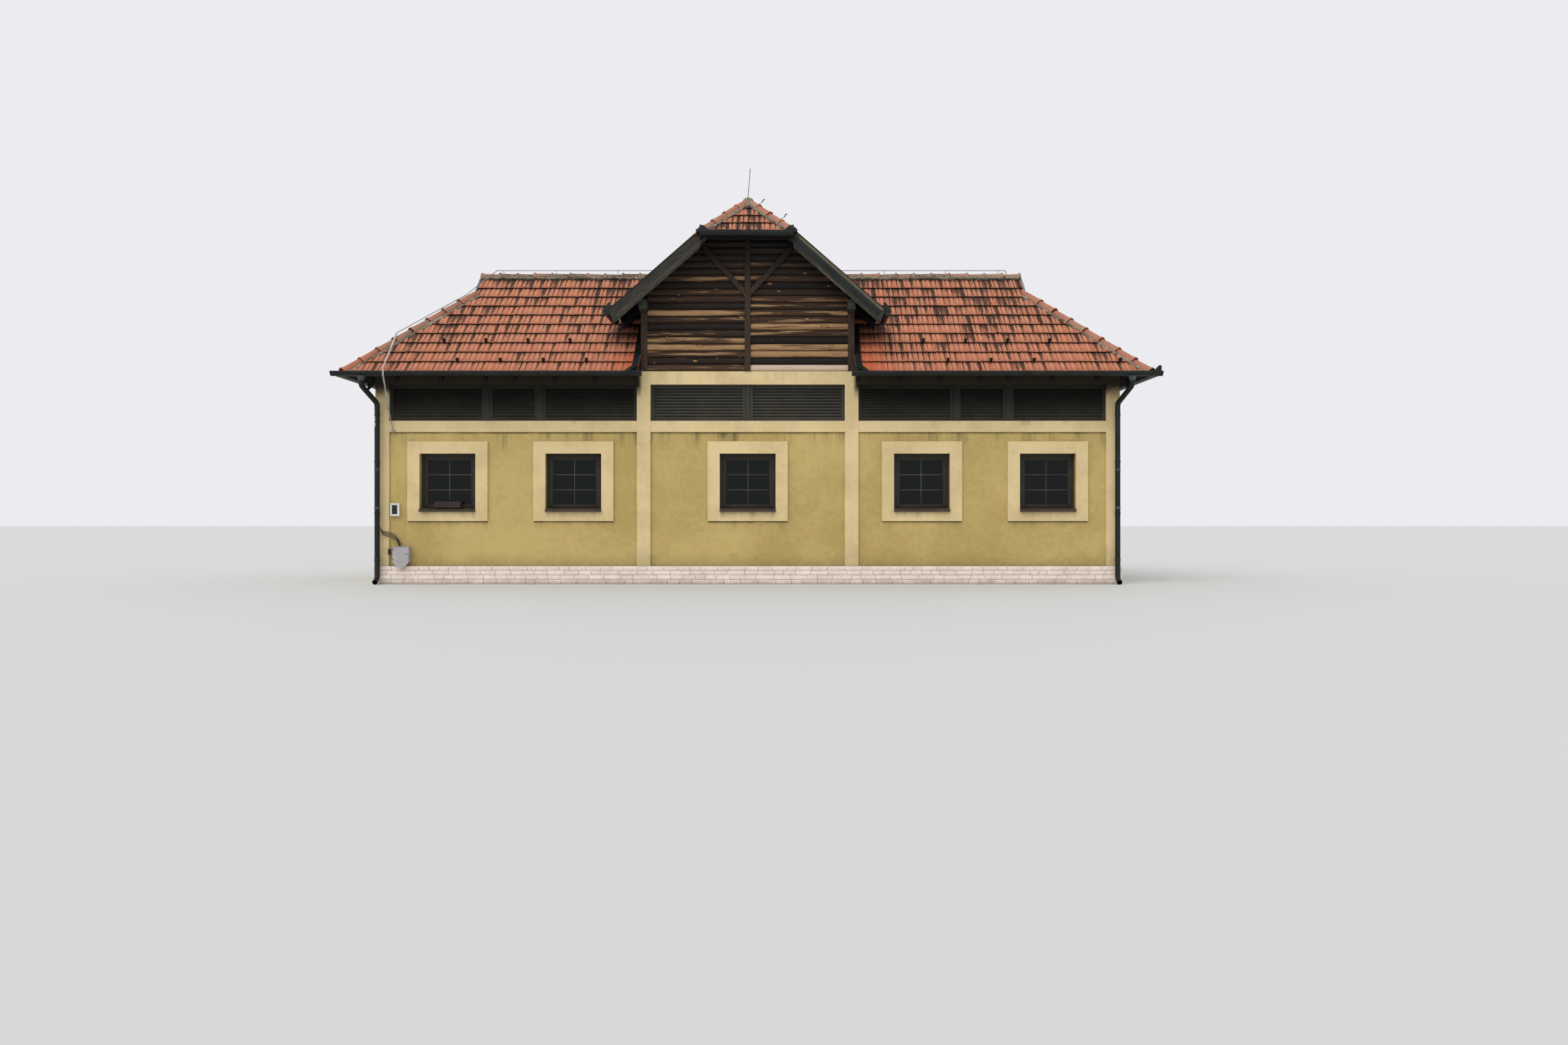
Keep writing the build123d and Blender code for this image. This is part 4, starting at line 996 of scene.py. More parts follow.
# The building's lines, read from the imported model


@dataclass(frozen=True)
class RoofLines:
    """The corners of the roofs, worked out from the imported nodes."""

    eave_x: float
    eave_y: float
    eave_z: float
    ridge_z: float
    gablet_x: float
    gablet_z: float
    cross_x: float
    cross_y: float
    cross_eave_z: float
    cross_ridge_z: float
    hip_x: float
    hip_z: float
    hip_apex_y: float
    cheek_x: float
    covering: float

    @classmethod
    def read(cls, covering: float = 0.095, gablet_recess: float = 0.040) -> "RoofLines":
        """Read the lines from the boxes of the roof nodes.

        Args:
            covering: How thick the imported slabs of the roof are, measured upright.
            gablet_recess: How far the gablet walls stand behind the ends of the ridge.

        Returns:
            The lines.
        """
        front_low, front_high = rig.box("roof_front")
        cross_low, cross_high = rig.box("cross_roof")
        hip_low, hip_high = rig.box("half_hips")
        return cls(
            eave_x=front_high[0], eave_y=-front_low[1], eave_z=front_low[2] + covering, ridge_z=front_high[2],
            gablet_x=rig.box("gablet_walls")[1][0] + gablet_recess, gablet_z=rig.box("roof_ends")[1][2],
            cross_x=cross_high[0], cross_y=cross_high[1], cross_eave_z=cross_low[2] + covering,
            cross_ridge_z=cross_high[2], hip_x=hip_high[0], hip_z=hip_low[2] + covering,
            hip_apex_y=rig.box("ridge_covers")[1][1], cheek_x=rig.box("gable_posts")[1][0], covering=covering)

    @property
    def gablet_y(self) -> float:
        """How far the gablets' lower corners are from the ridge."""
        return (self.ridge_z - self.gablet_z) / self.main_slope

    @property
    def main_slope(self) -> float:
        """Rise over run of the front and back planes."""
        return (self.ridge_z - self.eave_z) / self.eave_y

    @property
    def end_slope(self) -> float:
        """Rise over run of the end planes."""
        return (self.gablet_z - self.eave_z) / (self.eave_x - self.gablet_x)

    @property
    def cross_slope(self) -> float:
        """Rise over run of the cross roof."""
        return (self.cross_ridge_z - self.cross_eave_z) / self.cross_x

    def main_height(self, y: float) -> float:
        """Height of the front plane at a distance y in front of the ridge."""
        return self.ridge_z - abs(y) * self.main_slope

    def valley_x(self, y: float) -> float:
        """Where the cross roof meets the main roof, y in front of the ridge."""
        return (self.cross_ridge_z - self.main_height(y)) / self.cross_slope


# Roof tiles


@dataclass
class TileShape:
    """One interlocking clay tile with two flutes."""

    width: float = TILE_WIDTH
    thickness: float = 0.014
    lift: float = 0.036
    overlap: float = 0.07
    base: float = -0.043
    outline: tuple = ((0.00, 0.009), (0.08, 0.015), (0.17, 0.009), (0.27, 0.000), (0.38, 0.008), (0.50, 0.010),
                      (0.62, 0.008), (0.74, 0.000), (0.88, 0.004), (1.07, 0.005))

    def mesh(self, gauge: float) -> Mesh:
        """Build the tile's mesh: X across, Y up the slope from its lower edge, Z out of the roof.

        Args:
            gauge: The length of the tile that shows.

        Returns:
            The mesh, with how deep in a flute a point lies and where it is on the tile.
        """
        bm = bmesh.new()
        columns = len(self.outline) - 1
        bmesh.ops.create_grid(bm, x_segments=columns, y_segments=1, size=0.5)
        length = gauge + self.overlap
        trough = bm.verts.layers.float.new("trough")
        side = bm.verts.layers.float.new("side")
        run = bm.verts.layers.float.new("run")
        for vert in bm.verts:
            across, height = self.outline[round((vert.co.x + 0.5) * columns)]
            share = round(vert.co.y + 0.5)
            vert.co = Vector((across * self.width, share * length, height + self.lift * (1 - share)))
            vert[trough] = 1.0 - min(1.0, height / 0.009)
            vert[side] = across
            vert[run] = share
        bmesh.ops.solidify(bm, geom=bm.faces[:], thickness=self.thickness)
        lowest = min(vert.co.z for vert in bm.verts)
        bmesh.ops.translate(bm, verts=bm.verts[:], vec=(0.0, 0.0, self.base - lowest))
        bmesh.ops.recalc_face_normals(bm, faces=bm.faces[:])
        return mesh_of("tile", bm)


@dataclass
class TileBand:
    """A stretch of rows of one roof plane with its own cutting planes."""

    start: float
    end: float
    cuts: Sequence[Cut]


@dataclass
class TiledPlane:
    """One roof plane laid with tiles."""

    name: str
    node: str
    origin: Vector
    across: Vector
    upward: Vector
    width: float
    length: float
    bands: Sequence[TileBand]
    seed: int
    first_gauge: float = 0.375
    last_gauge: float = 0.420
    new_place: Optional[Vector] = None
    new_reach: Vector = field(default_factory=lambda: Vector((0.75, 2.4)))
    slip: tuple = (0.0012, 0.0035, 0.0008)
    lean: tuple = (0.006, 0.008)
    last_row: float = 0.05
    deck_margin: float = 0.3

    def rows(self) -> list[tuple[float, float]]:
        """The lower edge and gauge of each row, from the eave up."""
        count = max(1, round(self.length / ((self.first_gauge + self.last_gauge) / 2)))
        edges = []
        place = 0.0
        for index in range(count + 1):
            gauge = self.first_gauge + (self.last_gauge - self.first_gauge) * index / count
            if place > self.length - self.last_row:
                break
            edges.append((place, gauge))
            place += gauge
        return edges

    def frame(self) -> Matrix:
        """The plane's own frame: X across, Y up the slope, Z out of the roof."""
        return frame_of(self.origin, self.across, self.upward, self.across.cross(self.upward).normalized())

    def build(self, tile: TileShape, look: Material, slot: str) -> None:
        """Lay the plane and cut it to its outline."""
        rng = random.Random(self.seed)
        frame = self.frame()
        whole = bmesh.new()
        prototype = tile.mesh(self.last_gauge)
        for band in self.bands:
            places = []
            values = {"tone": [], "newness": [], "column": [], "row": []}
            for row, (low, gauge) in enumerate(self.rows()):
                middle = low + gauge / 2
                if not band.start <= middle < band.end:
                    continue
                for column in range(-1, int(self.width / tile.width) + 2):
                    place = Vector((column * tile.width + rng.gauss(0, self.slip[0]), low + rng.gauss(0, self.slip[1]),
                                    rng.gauss(0, self.slip[2])))
                    turn = rotation(rng.gauss(0, self.lean[0]), "Z") @ rotation(rng.gauss(0, self.lean[1]), "Y")
                    center = frame @ Vector((place.x + tile.width / 2, middle, 0.0))
                    if self._outside(center, band, tile.width):
                        continue
                    places.append(frame @ shift(place) @ turn)
                    values["tone"].append(rng.random())
                    values["newness"].append(self._newness(place.x, low, rng))
                    values["column"].append(column + 37.0 * self.seed)
                    values["row"].append(row)
            if places:
                part = bmesh.new()
                merge(part, joined_copies(self.name, prototype, places, values))
                clear_outside(part, band.cuts)
                merge(whole, part)
        finish_piece(self.name, whole, look, slot)

    def add_deck(self, whole: BMesh, top: float, bottom: float) -> None:
        """Add the boards under the tiles, between two depths below the plane, cut as the tiles are."""
        for band in self.bands:
            part = bmesh.new()
            add_block(part, (-self.deck_margin, max(0.0, band.start), -bottom),
                      (self.width + self.deck_margin, min(self.length, band.end), -top))
            bmesh.ops.transform(part, matrix=self.frame(), verts=part.verts[:])
            clear_outside(part, band.cuts)
            merge(whole, part)

    def _outside(self, point: Vector, band: TileBand, margin: float) -> bool:
        """Tell whether a tile lies wholly beyond a cutting plane."""
        return any((point - place).dot(normal) > 1.6 * margin for place, normal in band.cuts)

    def _newness(self, across: float, upward: float, rng: random.Random) -> float:
        """How new a tile is: 1 for the ones laid again beside the gable."""
        if self.new_place is None:
            return 0.0
        near = abs(across - self.new_place.x) / self.new_reach.x + (upward - self.new_place.y) / self.new_reach.y
        return max(0.0, min(1.0, 1.25 - near + rng.uniform(-0.15, 0.15)))


def upright(point: Sequence[float], normal: Sequence[float], side: Side = Side.RIGHT) -> Cut:
    """Return an upright cutting plane from plan coordinates of the right side, mirrored to the side wanted."""
    return (Vector((point[0] * side.value, point[1], 0.0)), Vector((normal[0] * side.value, normal[1], 0.0)))


def square_to(run: Sequence[float], up_y: float) -> Vector:
    """Return the level normal of a line in plan that points to one side along Y."""
    run = Vector((run[0], run[1], 0.0)).normalized()
    normal = Vector((run.y, -run.x, 0.0))
    return -normal if normal.y * up_y < 0 else normal


@dataclass
class TiledRoofs:
    """All tiled planes of the building."""

    lines: RoofLines
    tile: TileShape = field(default_factory=TileShape)
    deck_top: float = 0.047
    seam: float = 0.01
    valley_gap: float = 0.02
    verge_gap: float = 0.005
    hip_gauges: tuple = (0.29, 0.31)

    def hip_cut(self, side: Side) -> Cut:
        """The upright plane through a front hip, facing away from the front plane."""
        lines = self.lines
        run = Vector((lines.gablet_x - lines.eave_x, lines.eave_y - lines.gablet_y, 0.0)).normalized()
        return upright((lines.eave_x, -lines.eave_y), (run.y, -run.x), side)

    def main_planes(self) -> Iterator[TiledPlane]:
        """The four quarters of the front and back planes."""
        lines = self.lines
        pitch = math.atan(lines.main_slope)
        length = lines.eave_y / math.cos(pitch)
        cheek_y = (lines.ridge_z - (lines.cross_ridge_z - lines.cheek_x * lines.cross_slope)) / lines.main_slope
        cheek_v = (lines.eave_y - cheek_y) / math.cos(pitch)
        gablet_v = (lines.eave_y - lines.gablet_y) / math.cos(pitch)
        valley_x = lines.valley_x(0.0)
        valley = Vector((-cheek_y, valley_x - lines.valley_x(cheek_y), 0.0)).normalized()
        for face in Face:
            turn = Matrix.Rotation(face.value, 3, "Z")
            for side in Side:
                cuts = (self.hip_cut(side), upright((lines.gablet_x, 0), (1, 0), side),
                        upright((lines.cheek_x, 0), (-1, 0), side),
                        upright((valley_x + self.valley_gap, 0), valley, side), upright((0, self.seam), (0, 1)))
                hip, gablet, cheek, valley_cut, ridge = ((turn @ point, turn @ normal) for point, normal in cuts)
                new_x = lines.cheek_x * side.value * (1 if face is Face.FRONT else -1)
                yield TiledPlane(
                    f"tiles_{face.name.lower()}_{side.name.lower()}", f"roof_{face.name.lower()}",
                    turn @ Vector((-lines.eave_x, -lines.eave_y, lines.eave_z)), turn @ Vector((1, 0, 0)),
                    turn @ Vector((0, math.cos(pitch), math.sin(pitch))), 2 * lines.eave_x, length,
                    [TileBand(-1.0, cheek_v, (cheek, hip)), TileBand(cheek_v, gablet_v, (valley_cut, hip)),
                     TileBand(gablet_v, length, (valley_cut, gablet, ridge))],
                    11 + int(side.value) + int(face.value * 3), new_place=Vector((lines.eave_x + new_x, 0.0)))

    def end_planes(self) -> Iterator[TiledPlane]:
        """The two hipped ends."""
        lines = self.lines
        pitch = math.atan(lines.end_slope)
        length = (lines.eave_x - lines.gablet_x) / math.cos(pitch)
        for side in Side:
            sign = side.value
            point, normal = self.hip_cut(side)
            cuts = [upright((point.x, point.y * face), (-normal.x, -normal.y * face)) for face in (1.0, -1.0)]
            cuts.append(upright((lines.gablet_x, 0), (-1, 0), side))
            yield TiledPlane(
                f"tiles_end_{side.name.lower()}", "roof_ends",
                Vector((lines.eave_x * sign, -lines.eave_y * sign, lines.eave_z)), Vector((0, sign, 0)),
                Vector((-math.cos(pitch) * sign, 0, math.sin(pitch))), 2 * lines.eave_y, length,
                [TileBand(-1.0, length + 1, cuts)], 41 + int(sign))

    def cross_planes(self) -> Iterator[TiledPlane]:
        """The four halves of the two slopes of the cross roof."""
        lines = self.lines
        pitch = math.atan(lines.cross_slope)
        length = lines.cross_x / math.cos(pitch)
        reach = lines.cross_y
        valley_x = lines.valley_x(0.0)
        valley_y = (lines.ridge_z - lines.cross_eave_z) / lines.main_slope
        top = (lines.cross_x - lines.hip_x) / math.cos(pitch)
        valley_low = (lines.cross_x - valley_x) / math.cos(pitch)
        for side in Side:
            sign = side.value
            for end in (1.0, -1.0):
                hip = (Vector((lines.hip_x * sign, reach * end, 0)),
                       square_to((-lines.hip_x * sign, (lines.hip_apex_y - reach) * end), end))
                valley = (Vector((valley_x * sign, 0, 0)),
                          square_to(((valley_x - lines.cross_x) * sign, -valley_y * end), -end))
                middle = upright((0, 0), (0, -end))
                verge = upright((0, (reach - self.verge_gap) * end), (0, end))
                ridge = upright((self.seam, 0), (-1, 0), side)
                bands = [TileBand(-1.0, min(valley_low, top), (valley, verge)),
                         TileBand(valley_low, top, (middle, verge)),
                         TileBand(max(valley_low, top), length, (middle, hip, ridge))]
                if valley_low > top:
                    bands[1] = TileBand(top, valley_low, (valley, hip))
                yield TiledPlane(
                    f"tiles_cross_{side.name.lower()}_{'front' if end < 0 else 'back'}", "cross_roof",
                    Vector((lines.cross_x * sign, -reach * sign, lines.cross_eave_z)), Vector((0, sign, 0)),
                    Vector((-math.cos(pitch) * sign, 0, math.sin(pitch))), 2 * reach, length, bands,
                    61 + int(sign) + int(end) * 3)

    def half_hip_planes(self) -> Iterator[TiledPlane]:
        """The two half hips of the cross roof."""
        lines = self.lines
        rise = lines.cross_ridge_z - lines.hip_z
        run = lines.cross_y - lines.hip_apex_y
        length = math.hypot(rise, run)
        line = Vector((-lines.hip_x, run, 0)).normalized()
        for face in Face:
            turn = Matrix.Rotation(face.value, 3, "Z")
            cuts = [tuple(turn @ part for part in upright((lines.hip_x, -lines.cross_y), (line.y, -line.x), side))
                    for side in Side]
            yield TiledPlane(
                f"tiles_half_hip_{face.name.lower()}", "half_hips",
                turn @ Vector((-lines.hip_x - 0.08, -lines.cross_y, lines.hip_z)), turn @ Vector((1, 0, 0)),
                turn @ Vector((0, run / length, rise / length)), 2 * lines.hip_x + 0.2, length,
                [TileBand(-1.0, length + 1, cuts)], 81 + int(face.value), *self.hip_gauges)

    def build(self, look: Material, boards: Material, slot: str) -> None:
        """Lay every plane on its boards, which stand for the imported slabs."""
        decks = defaultdict(bmesh.new)
        for planes in (self.main_planes, self.end_planes, self.cross_planes, self.half_hip_planes):
            for plane in planes():
                plane.build(self.tile, look, slot)
                plane.add_deck(decks[plane.node], self.deck_top, self.lines.covering)
        for node, deck in decks.items():
            finish_piece("boards_" + node, deck, boards, slot, [node])


@dataclass
class CoverLine:
    """A ridge or hip line under rounded tiles, from its low end to its high end."""

    low: Vector
    high: Vector
    pitch: float
    taper: float = 0.016
    collar: float = 0.022
    radius: float = 0.106
    sink: float = 0.045

    def frame(self) -> Matrix:
        """The line's own frame at its low end: X along it, Z up and square to it."""
        along = (self.high - self.low).normalized()
        side = Vector((0, 0, 1)).cross(along).normalized()
        upward = along.cross(side)
        return frame_of(self.low - upward * self.sink, along, side, upward)

    @property
    def length(self) -> float:
        """The line's length."""
        return (self.high - self.low).length


@dataclass
class CoverTiles:
    """Rounded tiles on the ridges and hips, with the lumpy mortar that beds them."""

    lines: RoofLines
    thickness: float = 0.013
    overlap: float = 0.045
    half_turn: float = math.radians(96)
    ridge_pitch: float = 0.414
    hip_pitch: float = 0.485
    half_hip_pitch: float = 0.400
    mortar_half_width: float = 0.138
    mortar_half_height: float = 0.048
    mortar_step: float = 0.04
    lump: float = 0.024
    knob: float = 0.11

    def places(self) -> Iterator[CoverLine]:
        """Every line that carries rounded tiles."""
        lines = self.lines
        start = lines.valley_x(0.0) + 0.05
        for side in Side:
            yield CoverLine(Vector((lines.gablet_x * side.value, 0, lines.ridge_z)),
                            Vector((start * side.value, 0, lines.ridge_z)), self.ridge_pitch)
            for end in (-1.0, 1.0):
                yield CoverLine(Vector((lines.eave_x * side.value, lines.eave_y * end, lines.eave_z)),
                                Vector((lines.gablet_x * side.value, lines.gablet_y * end, lines.gablet_z)),
                                self.hip_pitch, taper=0.020, collar=0.020, radius=0.112)
                yield CoverLine(Vector((lines.hip_x * side.value, lines.cross_y * end, lines.hip_z)),
                                Vector((0.0, lines.hip_apex_y * end, lines.cross_ridge_z)),
                                self.half_hip_pitch, taper=0.016, collar=0.016, radius=0.104)
        yield CoverLine(Vector((0, -lines.hip_apex_y, lines.cross_ridge_z)),
                        Vector((0, lines.hip_apex_y, lines.cross_ridge_z)), self.ridge_pitch)

    def tile(self, line: CoverLine) -> Mesh:
        """Spin one tapered half-round tile with a collar at its lower end."""
        bm = bmesh.new()
        wide = line.radius + line.collar
        profile = ((0.0, wide - 0.006), (0.012, wide), (0.044, wide), (0.060, line.radius),
                   (line.pitch + self.overlap, line.radius - line.taper))
        chain = [bm.verts.new((x, -radius * math.sin(self.half_turn), radius * math.cos(self.half_turn)))
                 for x, radius in profile]
        for pair in zip(chain, chain[1:]):
            bm.edges.new(pair)
        spin_sheet(bm, -2 * self.half_turn, 9, self.thickness)
        return mesh_of("cover tile", bm)

    def add_mortar(self, whole: BMesh, line: CoverLine, height: float) -> None:
        """Add the uneven bead of mortar under one line."""
        part = bmesh.new()
        length = line.length
        bmesh.ops.create_cone(part, cap_ends=True, segments=12, radius1=1.0, radius2=1.0, depth=length,
                              matrix=shift((length / 2, 0, 0)) @ rotation(math.pi / 2, "Y"))
        lengthwise = [edge for edge in part.edges if abs(edge.verts[0].co.x - edge.verts[1].co.x) > length / 2]
        bmesh.ops.subdivide_edges(part, edges=lengthwise, cuts=int(length / self.mortar_step), use_grid_fill=True)
        frame = line.frame()
        for vert in part.verts:
            x, y, z = vert.co
            spot = frame @ Vector((x, y * 0.1, z * 0.1))
            swell = noise.noise(spot * 7.0) * self.lump + noise.noise(spot * 24.0) * self.lump * 0.9
            vert.co = Vector((x, y * (self.mortar_half_width + swell),
                              height + line.sink + z * (self.mortar_half_height + swell * 0.6)))
        bmesh.ops.transform(part, matrix=frame, verts=part.verts[:])
        merge(whole, part)

    def build(self, clay: Material, mortar: Material, slot: str) -> None:
        """Lay the tiles of every line and their mortar."""
        rng = random.Random(97)
        tiles, beds = bmesh.new(), bmesh.new()
        for line in self.places():
            frame = line.frame()
            level = abs(line.low.z - line.high.z) < 0.01
            places, tones = [], []
            count = max(1, round(line.length / line.pitch))
            step = line.length / count
            for index in range(count):
                slip = shift((index * step + rng.uniform(-0.012, 0.012) * min(index, 1),
                              rng.gauss(0, 0.004), rng.gauss(0, 0.003)))
                tilt = rotation(rng.gauss(-0.012, 0.012), "Y") @ rotation(rng.gauss(0, 0.02), "Z")
                places.append(frame @ slip @ tilt)
                tones.append(rng.uniform(0.75, 1.35) if level else rng.uniform(-0.2, 0.6))
            merge(tiles, joined_copies("covers", self.tile(line), places, {"tone": tones, "row": range(count)}))
            self.add_mortar(beds, line, -0.062 if level else -0.058)
        top = shift((0, -self.lines.hip_apex_y, self.lines.cross_ridge_z - 0.045))
        for vert in bmesh.ops.create_icosphere(beds, subdivisions=2, radius=self.knob, matrix=top)["verts"]:
            vert.co += vert.co.normalized() * noise.noise(vert.co * 14.0) * 0.015
        finish_piece("cover_tiles", tiles, clay, slot, ["ridge_covers", "hip_covers"])
        finish_piece("cover_mortar", beds, mortar, slot)


@dataclass
class SnowHooks:
    """Dark hooks that stand in two rows on the lower part of the front and back planes.

    Each row has its place up the slope, its hook nearest the middle and the steps to the others.
    """

    lines: RoofLines
    spacing: float = 0.912
    rows: tuple = ((1.18, -3.862, (0, 1, 2, 3)), (0.39, -3.405, (0, 1, 2, 3)), (1.18, 3.805, (0, 1, 2, 3)),
                   (0.39, 4.253, (0, 1, 2, 4)))

    def build(self, look: Material, slot: str) -> None:
        """Fold one hook, and set it along the rows."""
        bm = bmesh.new()
        add_box(bm, (0.026, 0.150, 0.006), shift((0, 0.020, 0.030)), 0.001)
        add_box(bm, (0.058, 0.012, 0.120), shift((0, -0.050, 0.066)), 0.003)
        add_box(bm, (0.024, 0.070, 0.010), shift((0, -0.016, 0.078)) @ rotation(-0.6, "X"), 0.002)
        pitch = math.atan(self.lines.main_slope)
        places = []
        for face in Face:
            for up, first, steps in self.rows:
                y = -self.lines.eave_y + up * math.cos(pitch)
                z = self.lines.eave_z + up * math.sin(pitch)
                for step in steps:
                    x = first + math.copysign(self.spacing * step, first)
                    places.append(rotation(face.value, "Z") @ shift((x, y, z)) @ rotation(pitch, "X"))
        finish_copies("snow_hooks", bm, places, look, slot)


@dataclass
class Louvres:
    """Framed panels of overlapping slats between the window band and the beam, with a near-black plate behind the slats
    as painted shade in the gaps.
    """

    low: float = 3.50
    high: float = 4.28
    face_y: float = 2.530
    end_face_x: float = 7.910
    depth: float = 0.045
    stile: float = 0.072
    top_rail: float = 0.085
    bottom_rail: float = 0.045
    slats: int = 10
    slat_width: float = 0.061
    slat_thickness: float = 0.010
    slat_tilt: float = math.radians(60)
    margin: float = 0.01
    spans: tuple = ((2.375, 4.4175), (4.5075, 5.5575), (5.6475, 7.690), (0.045, 2.085))
    end_span: tuple = (0.045, 2.310)

    def add_panel(self, bm: BMesh, backs: BMesh, start: float, end: float, frame: Matrix) -> None:
        """Add one panel that spans start to end along the frame's X, its face on the frame's XZ plane."""
        part, back = bmesh.new(), bmesh.new()
        inner = (start + self.stile, end - self.stile, self.low + self.bottom_rail, self.high - self.top_rail)
        add_frame(part, (start, end, self.low, self.high), inner, (0, self.depth), 0.004)
        # A near-black plate behind the slats is painted shade: it darkens the gaps between them
        add_plates(back, (self.depth - 0.005, self.depth - 0.001), 0.0,
                   (start + self.margin, end - self.margin, self.low + self.margin, self.high - self.margin))
        pitch = (inner[3] - inner[2]) / self.slats
        for index in range(self.slats):
            place = shift(((start + end) / 2, self.depth * 0.52, inner[2] + (index + 0.5) * pitch))
            add_box(part, (inner[1] - inner[0], self.slat_width, self.slat_thickness),
                    place @ rotation(self.slat_tilt, "X"))
        for whole, piece in ((bm, part), (backs, back)):
            bmesh.ops.transform(piece, matrix=frame, verts=piece.verts[:])
            merge(whole, piece)

    def build(self, look: Material, dark: Material, slot: str) -> None:
        """Build all panels of the four sides."""
        bm, backs = bmesh.new(), bmesh.new()
        front = shift((0, -self.face_y, 0))
        right_end = shift((self.end_face_x, 0, 0)) @ rotation(math.pi / 2, "Z")
        for start, end, frame in [(*span, front) for span in self.spans] + [(*self.end_span, right_end)]:
            self.add_panel(bm, backs, start, end, frame)
            self.add_panel(bm, backs, -end, -start, frame)
        for name, whole, finish in (("louvres", bm, look), ("louvre_backs", backs, dark)):
            add_turned(whole)
            finish_piece(name, whole, finish, slot, ["louvre_panels"])


@dataclass
class PlinthStones:
    """Courses of split stone round the foot of the walls, set on a mortar core."""

    out_x: float = 8.020
    out_y: float = 2.640
    in_x: float = 7.600
    in_y: float = 2.220
    height: float = PLINTH_TOP
    courses: int = 4
    joint: float = 0.008
    depth: float = 0.085
    recess: float = 0.020
    core_gap: float = 0.004
    shortest: float = 0.17
    longest: float = 0.40
    rounding: float = 0.07

    def _stone(self) -> BMesh:
        """One block of unit size with rounded edges."""
        bm = bmesh.new()
        bmesh.ops.create_cube(bm, size=1.0)
        bmesh.ops.bevel(bm, geom=bm.edges[:], offset=self.rounding, offset_type="OFFSET", segments=2, profile=0.5,
                        affect="EDGES", material=-1)
        return bm

    def build(self, look: Material, joints: Material, slot: str) -> None:
        """Lay the stones of all four sides and the core behind them."""
        rng = random.Random(23)
        places, tones = [], []
        rise = self.height / self.courses
        for quarter in range(4):
            turn = rotation(quarter * math.pi / 2, "Z")
            reach, out = (self.out_x, self.out_y) if quarter % 2 == 0 else (self.out_y - self.depth, self.out_x)
            for course in range(self.courses):
                x = -reach
                while x < reach - 0.02:
                    length = rng.uniform(self.shortest, self.longest)
                    if reach - x - length < self.shortest:
                        length = reach - x
                    back = rng.uniform(0.0, 0.012)
                    middle = (x + length / 2, -out + back + self.depth / 2, (course + 0.5) * rise)
                    lean = rotation(rng.gauss(0, 0.02), "Z") if length < 0.45 and back > 0.004 else Matrix()
                    size = Matrix.Diagonal((length - self.joint, self.depth, rise - self.joint, 1.0))
                    places.append(turn @ shift(middle) @ lean @ size)
                    tones.append(rng.random())
                    x += length
        finish_copies("plinth_stones", self._stone(), places, look, slot, ["plinth"], {"tone": tones})
        core = bmesh.new()
        out_x, out_y = self.out_x - self.recess, self.out_y - self.recess
        for low, high in (((-out_x, -out_y), (out_x, -self.in_y)), ((-out_x, self.in_y), (out_x, out_y)),
                          ((self.in_x, -self.in_y), (out_x, self.in_y)),
                          ((-out_x, -self.in_y), (-self.in_x, self.in_y))):
            add_block(core, (*low, self.core_gap), (*high, self.height - self.core_gap))
        finish_piece("plinth_core", core, joints, slot)


@dataclass
class WindowTrim:
    """Glazing bars, glass beads, weather bars and hinges of every window."""

    half: float = 0.473
    low: float = 1.702
    high: float = 2.673
    glass_y: float = -2.4095
    sash_y: float = -2.425
    hinge_y: float = -2.446
    end_shift: float = 5.380
    bar: float = 0.009
    bead: float = 0.013
    weather_bar: tuple = (-0.525, 0.525, 1.652, 1.680)
    hinge_heights: tuple = (1.83, 2.55)

    def places(self) -> list[Matrix]:
        """Where each window stands, from the one in the middle of the front."""
        sides = sorted(middle * side.value for middle in WINDOW_MIDDLES for side in Side)
        turn = rotation(math.pi, "Z")
        found = [shift((x, 0, 0)) for x in sides + [0.0]] + [turn @ shift((x, 0, 0)) for x in sides]
        return found + [shift((self.end_shift * sign, 0, 0)) @ rotation(sign * math.pi / 2, "Z") for sign in (1, -1)]

    def build(self, bars: Material, wood: Material, slot: str) -> None:
        """Build the bars and the beads."""
        bm = bmesh.new()
        y0, y1 = self.glass_y - 0.004, self.glass_y - 0.0003
        half_bar = self.bar / 2
        add_plates(bm, (y0 - 0.001, y1), 0.001, (-half_bar, half_bar, self.low, self.high))
        thirds = (self.low + (self.high - self.low) * share for share in (1 / 3, 2 / 3))
        add_plates(bm, (y0, y1), 0.001, *((-self.half, self.half, z - half_bar, z + half_bar) for z in thirds))
        finish_copies("glazing_bars", bm, self.places(), bars, slot)
        bm = bmesh.new()
        outer = (-self.half, self.half, self.low, self.high)
        inner = (-self.half + self.bead, self.half - self.bead, self.low + self.bead, self.high - self.bead)
        add_frame(bm, outer, inner, (y0 - 0.008, y1), 0.003)
        add_plates(bm, (self.sash_y - 0.026, self.sash_y - 0.0003), 0.006, self.weather_bar)
        for x in (-0.53, 0.53):
            for z in self.hinge_heights:
                add_rod(bm, (x, self.hinge_y, z - 0.03), (x, self.hinge_y, z + 0.03), 0.007)
        finish_copies("window_beads", bm, self.places(), wood, slot)


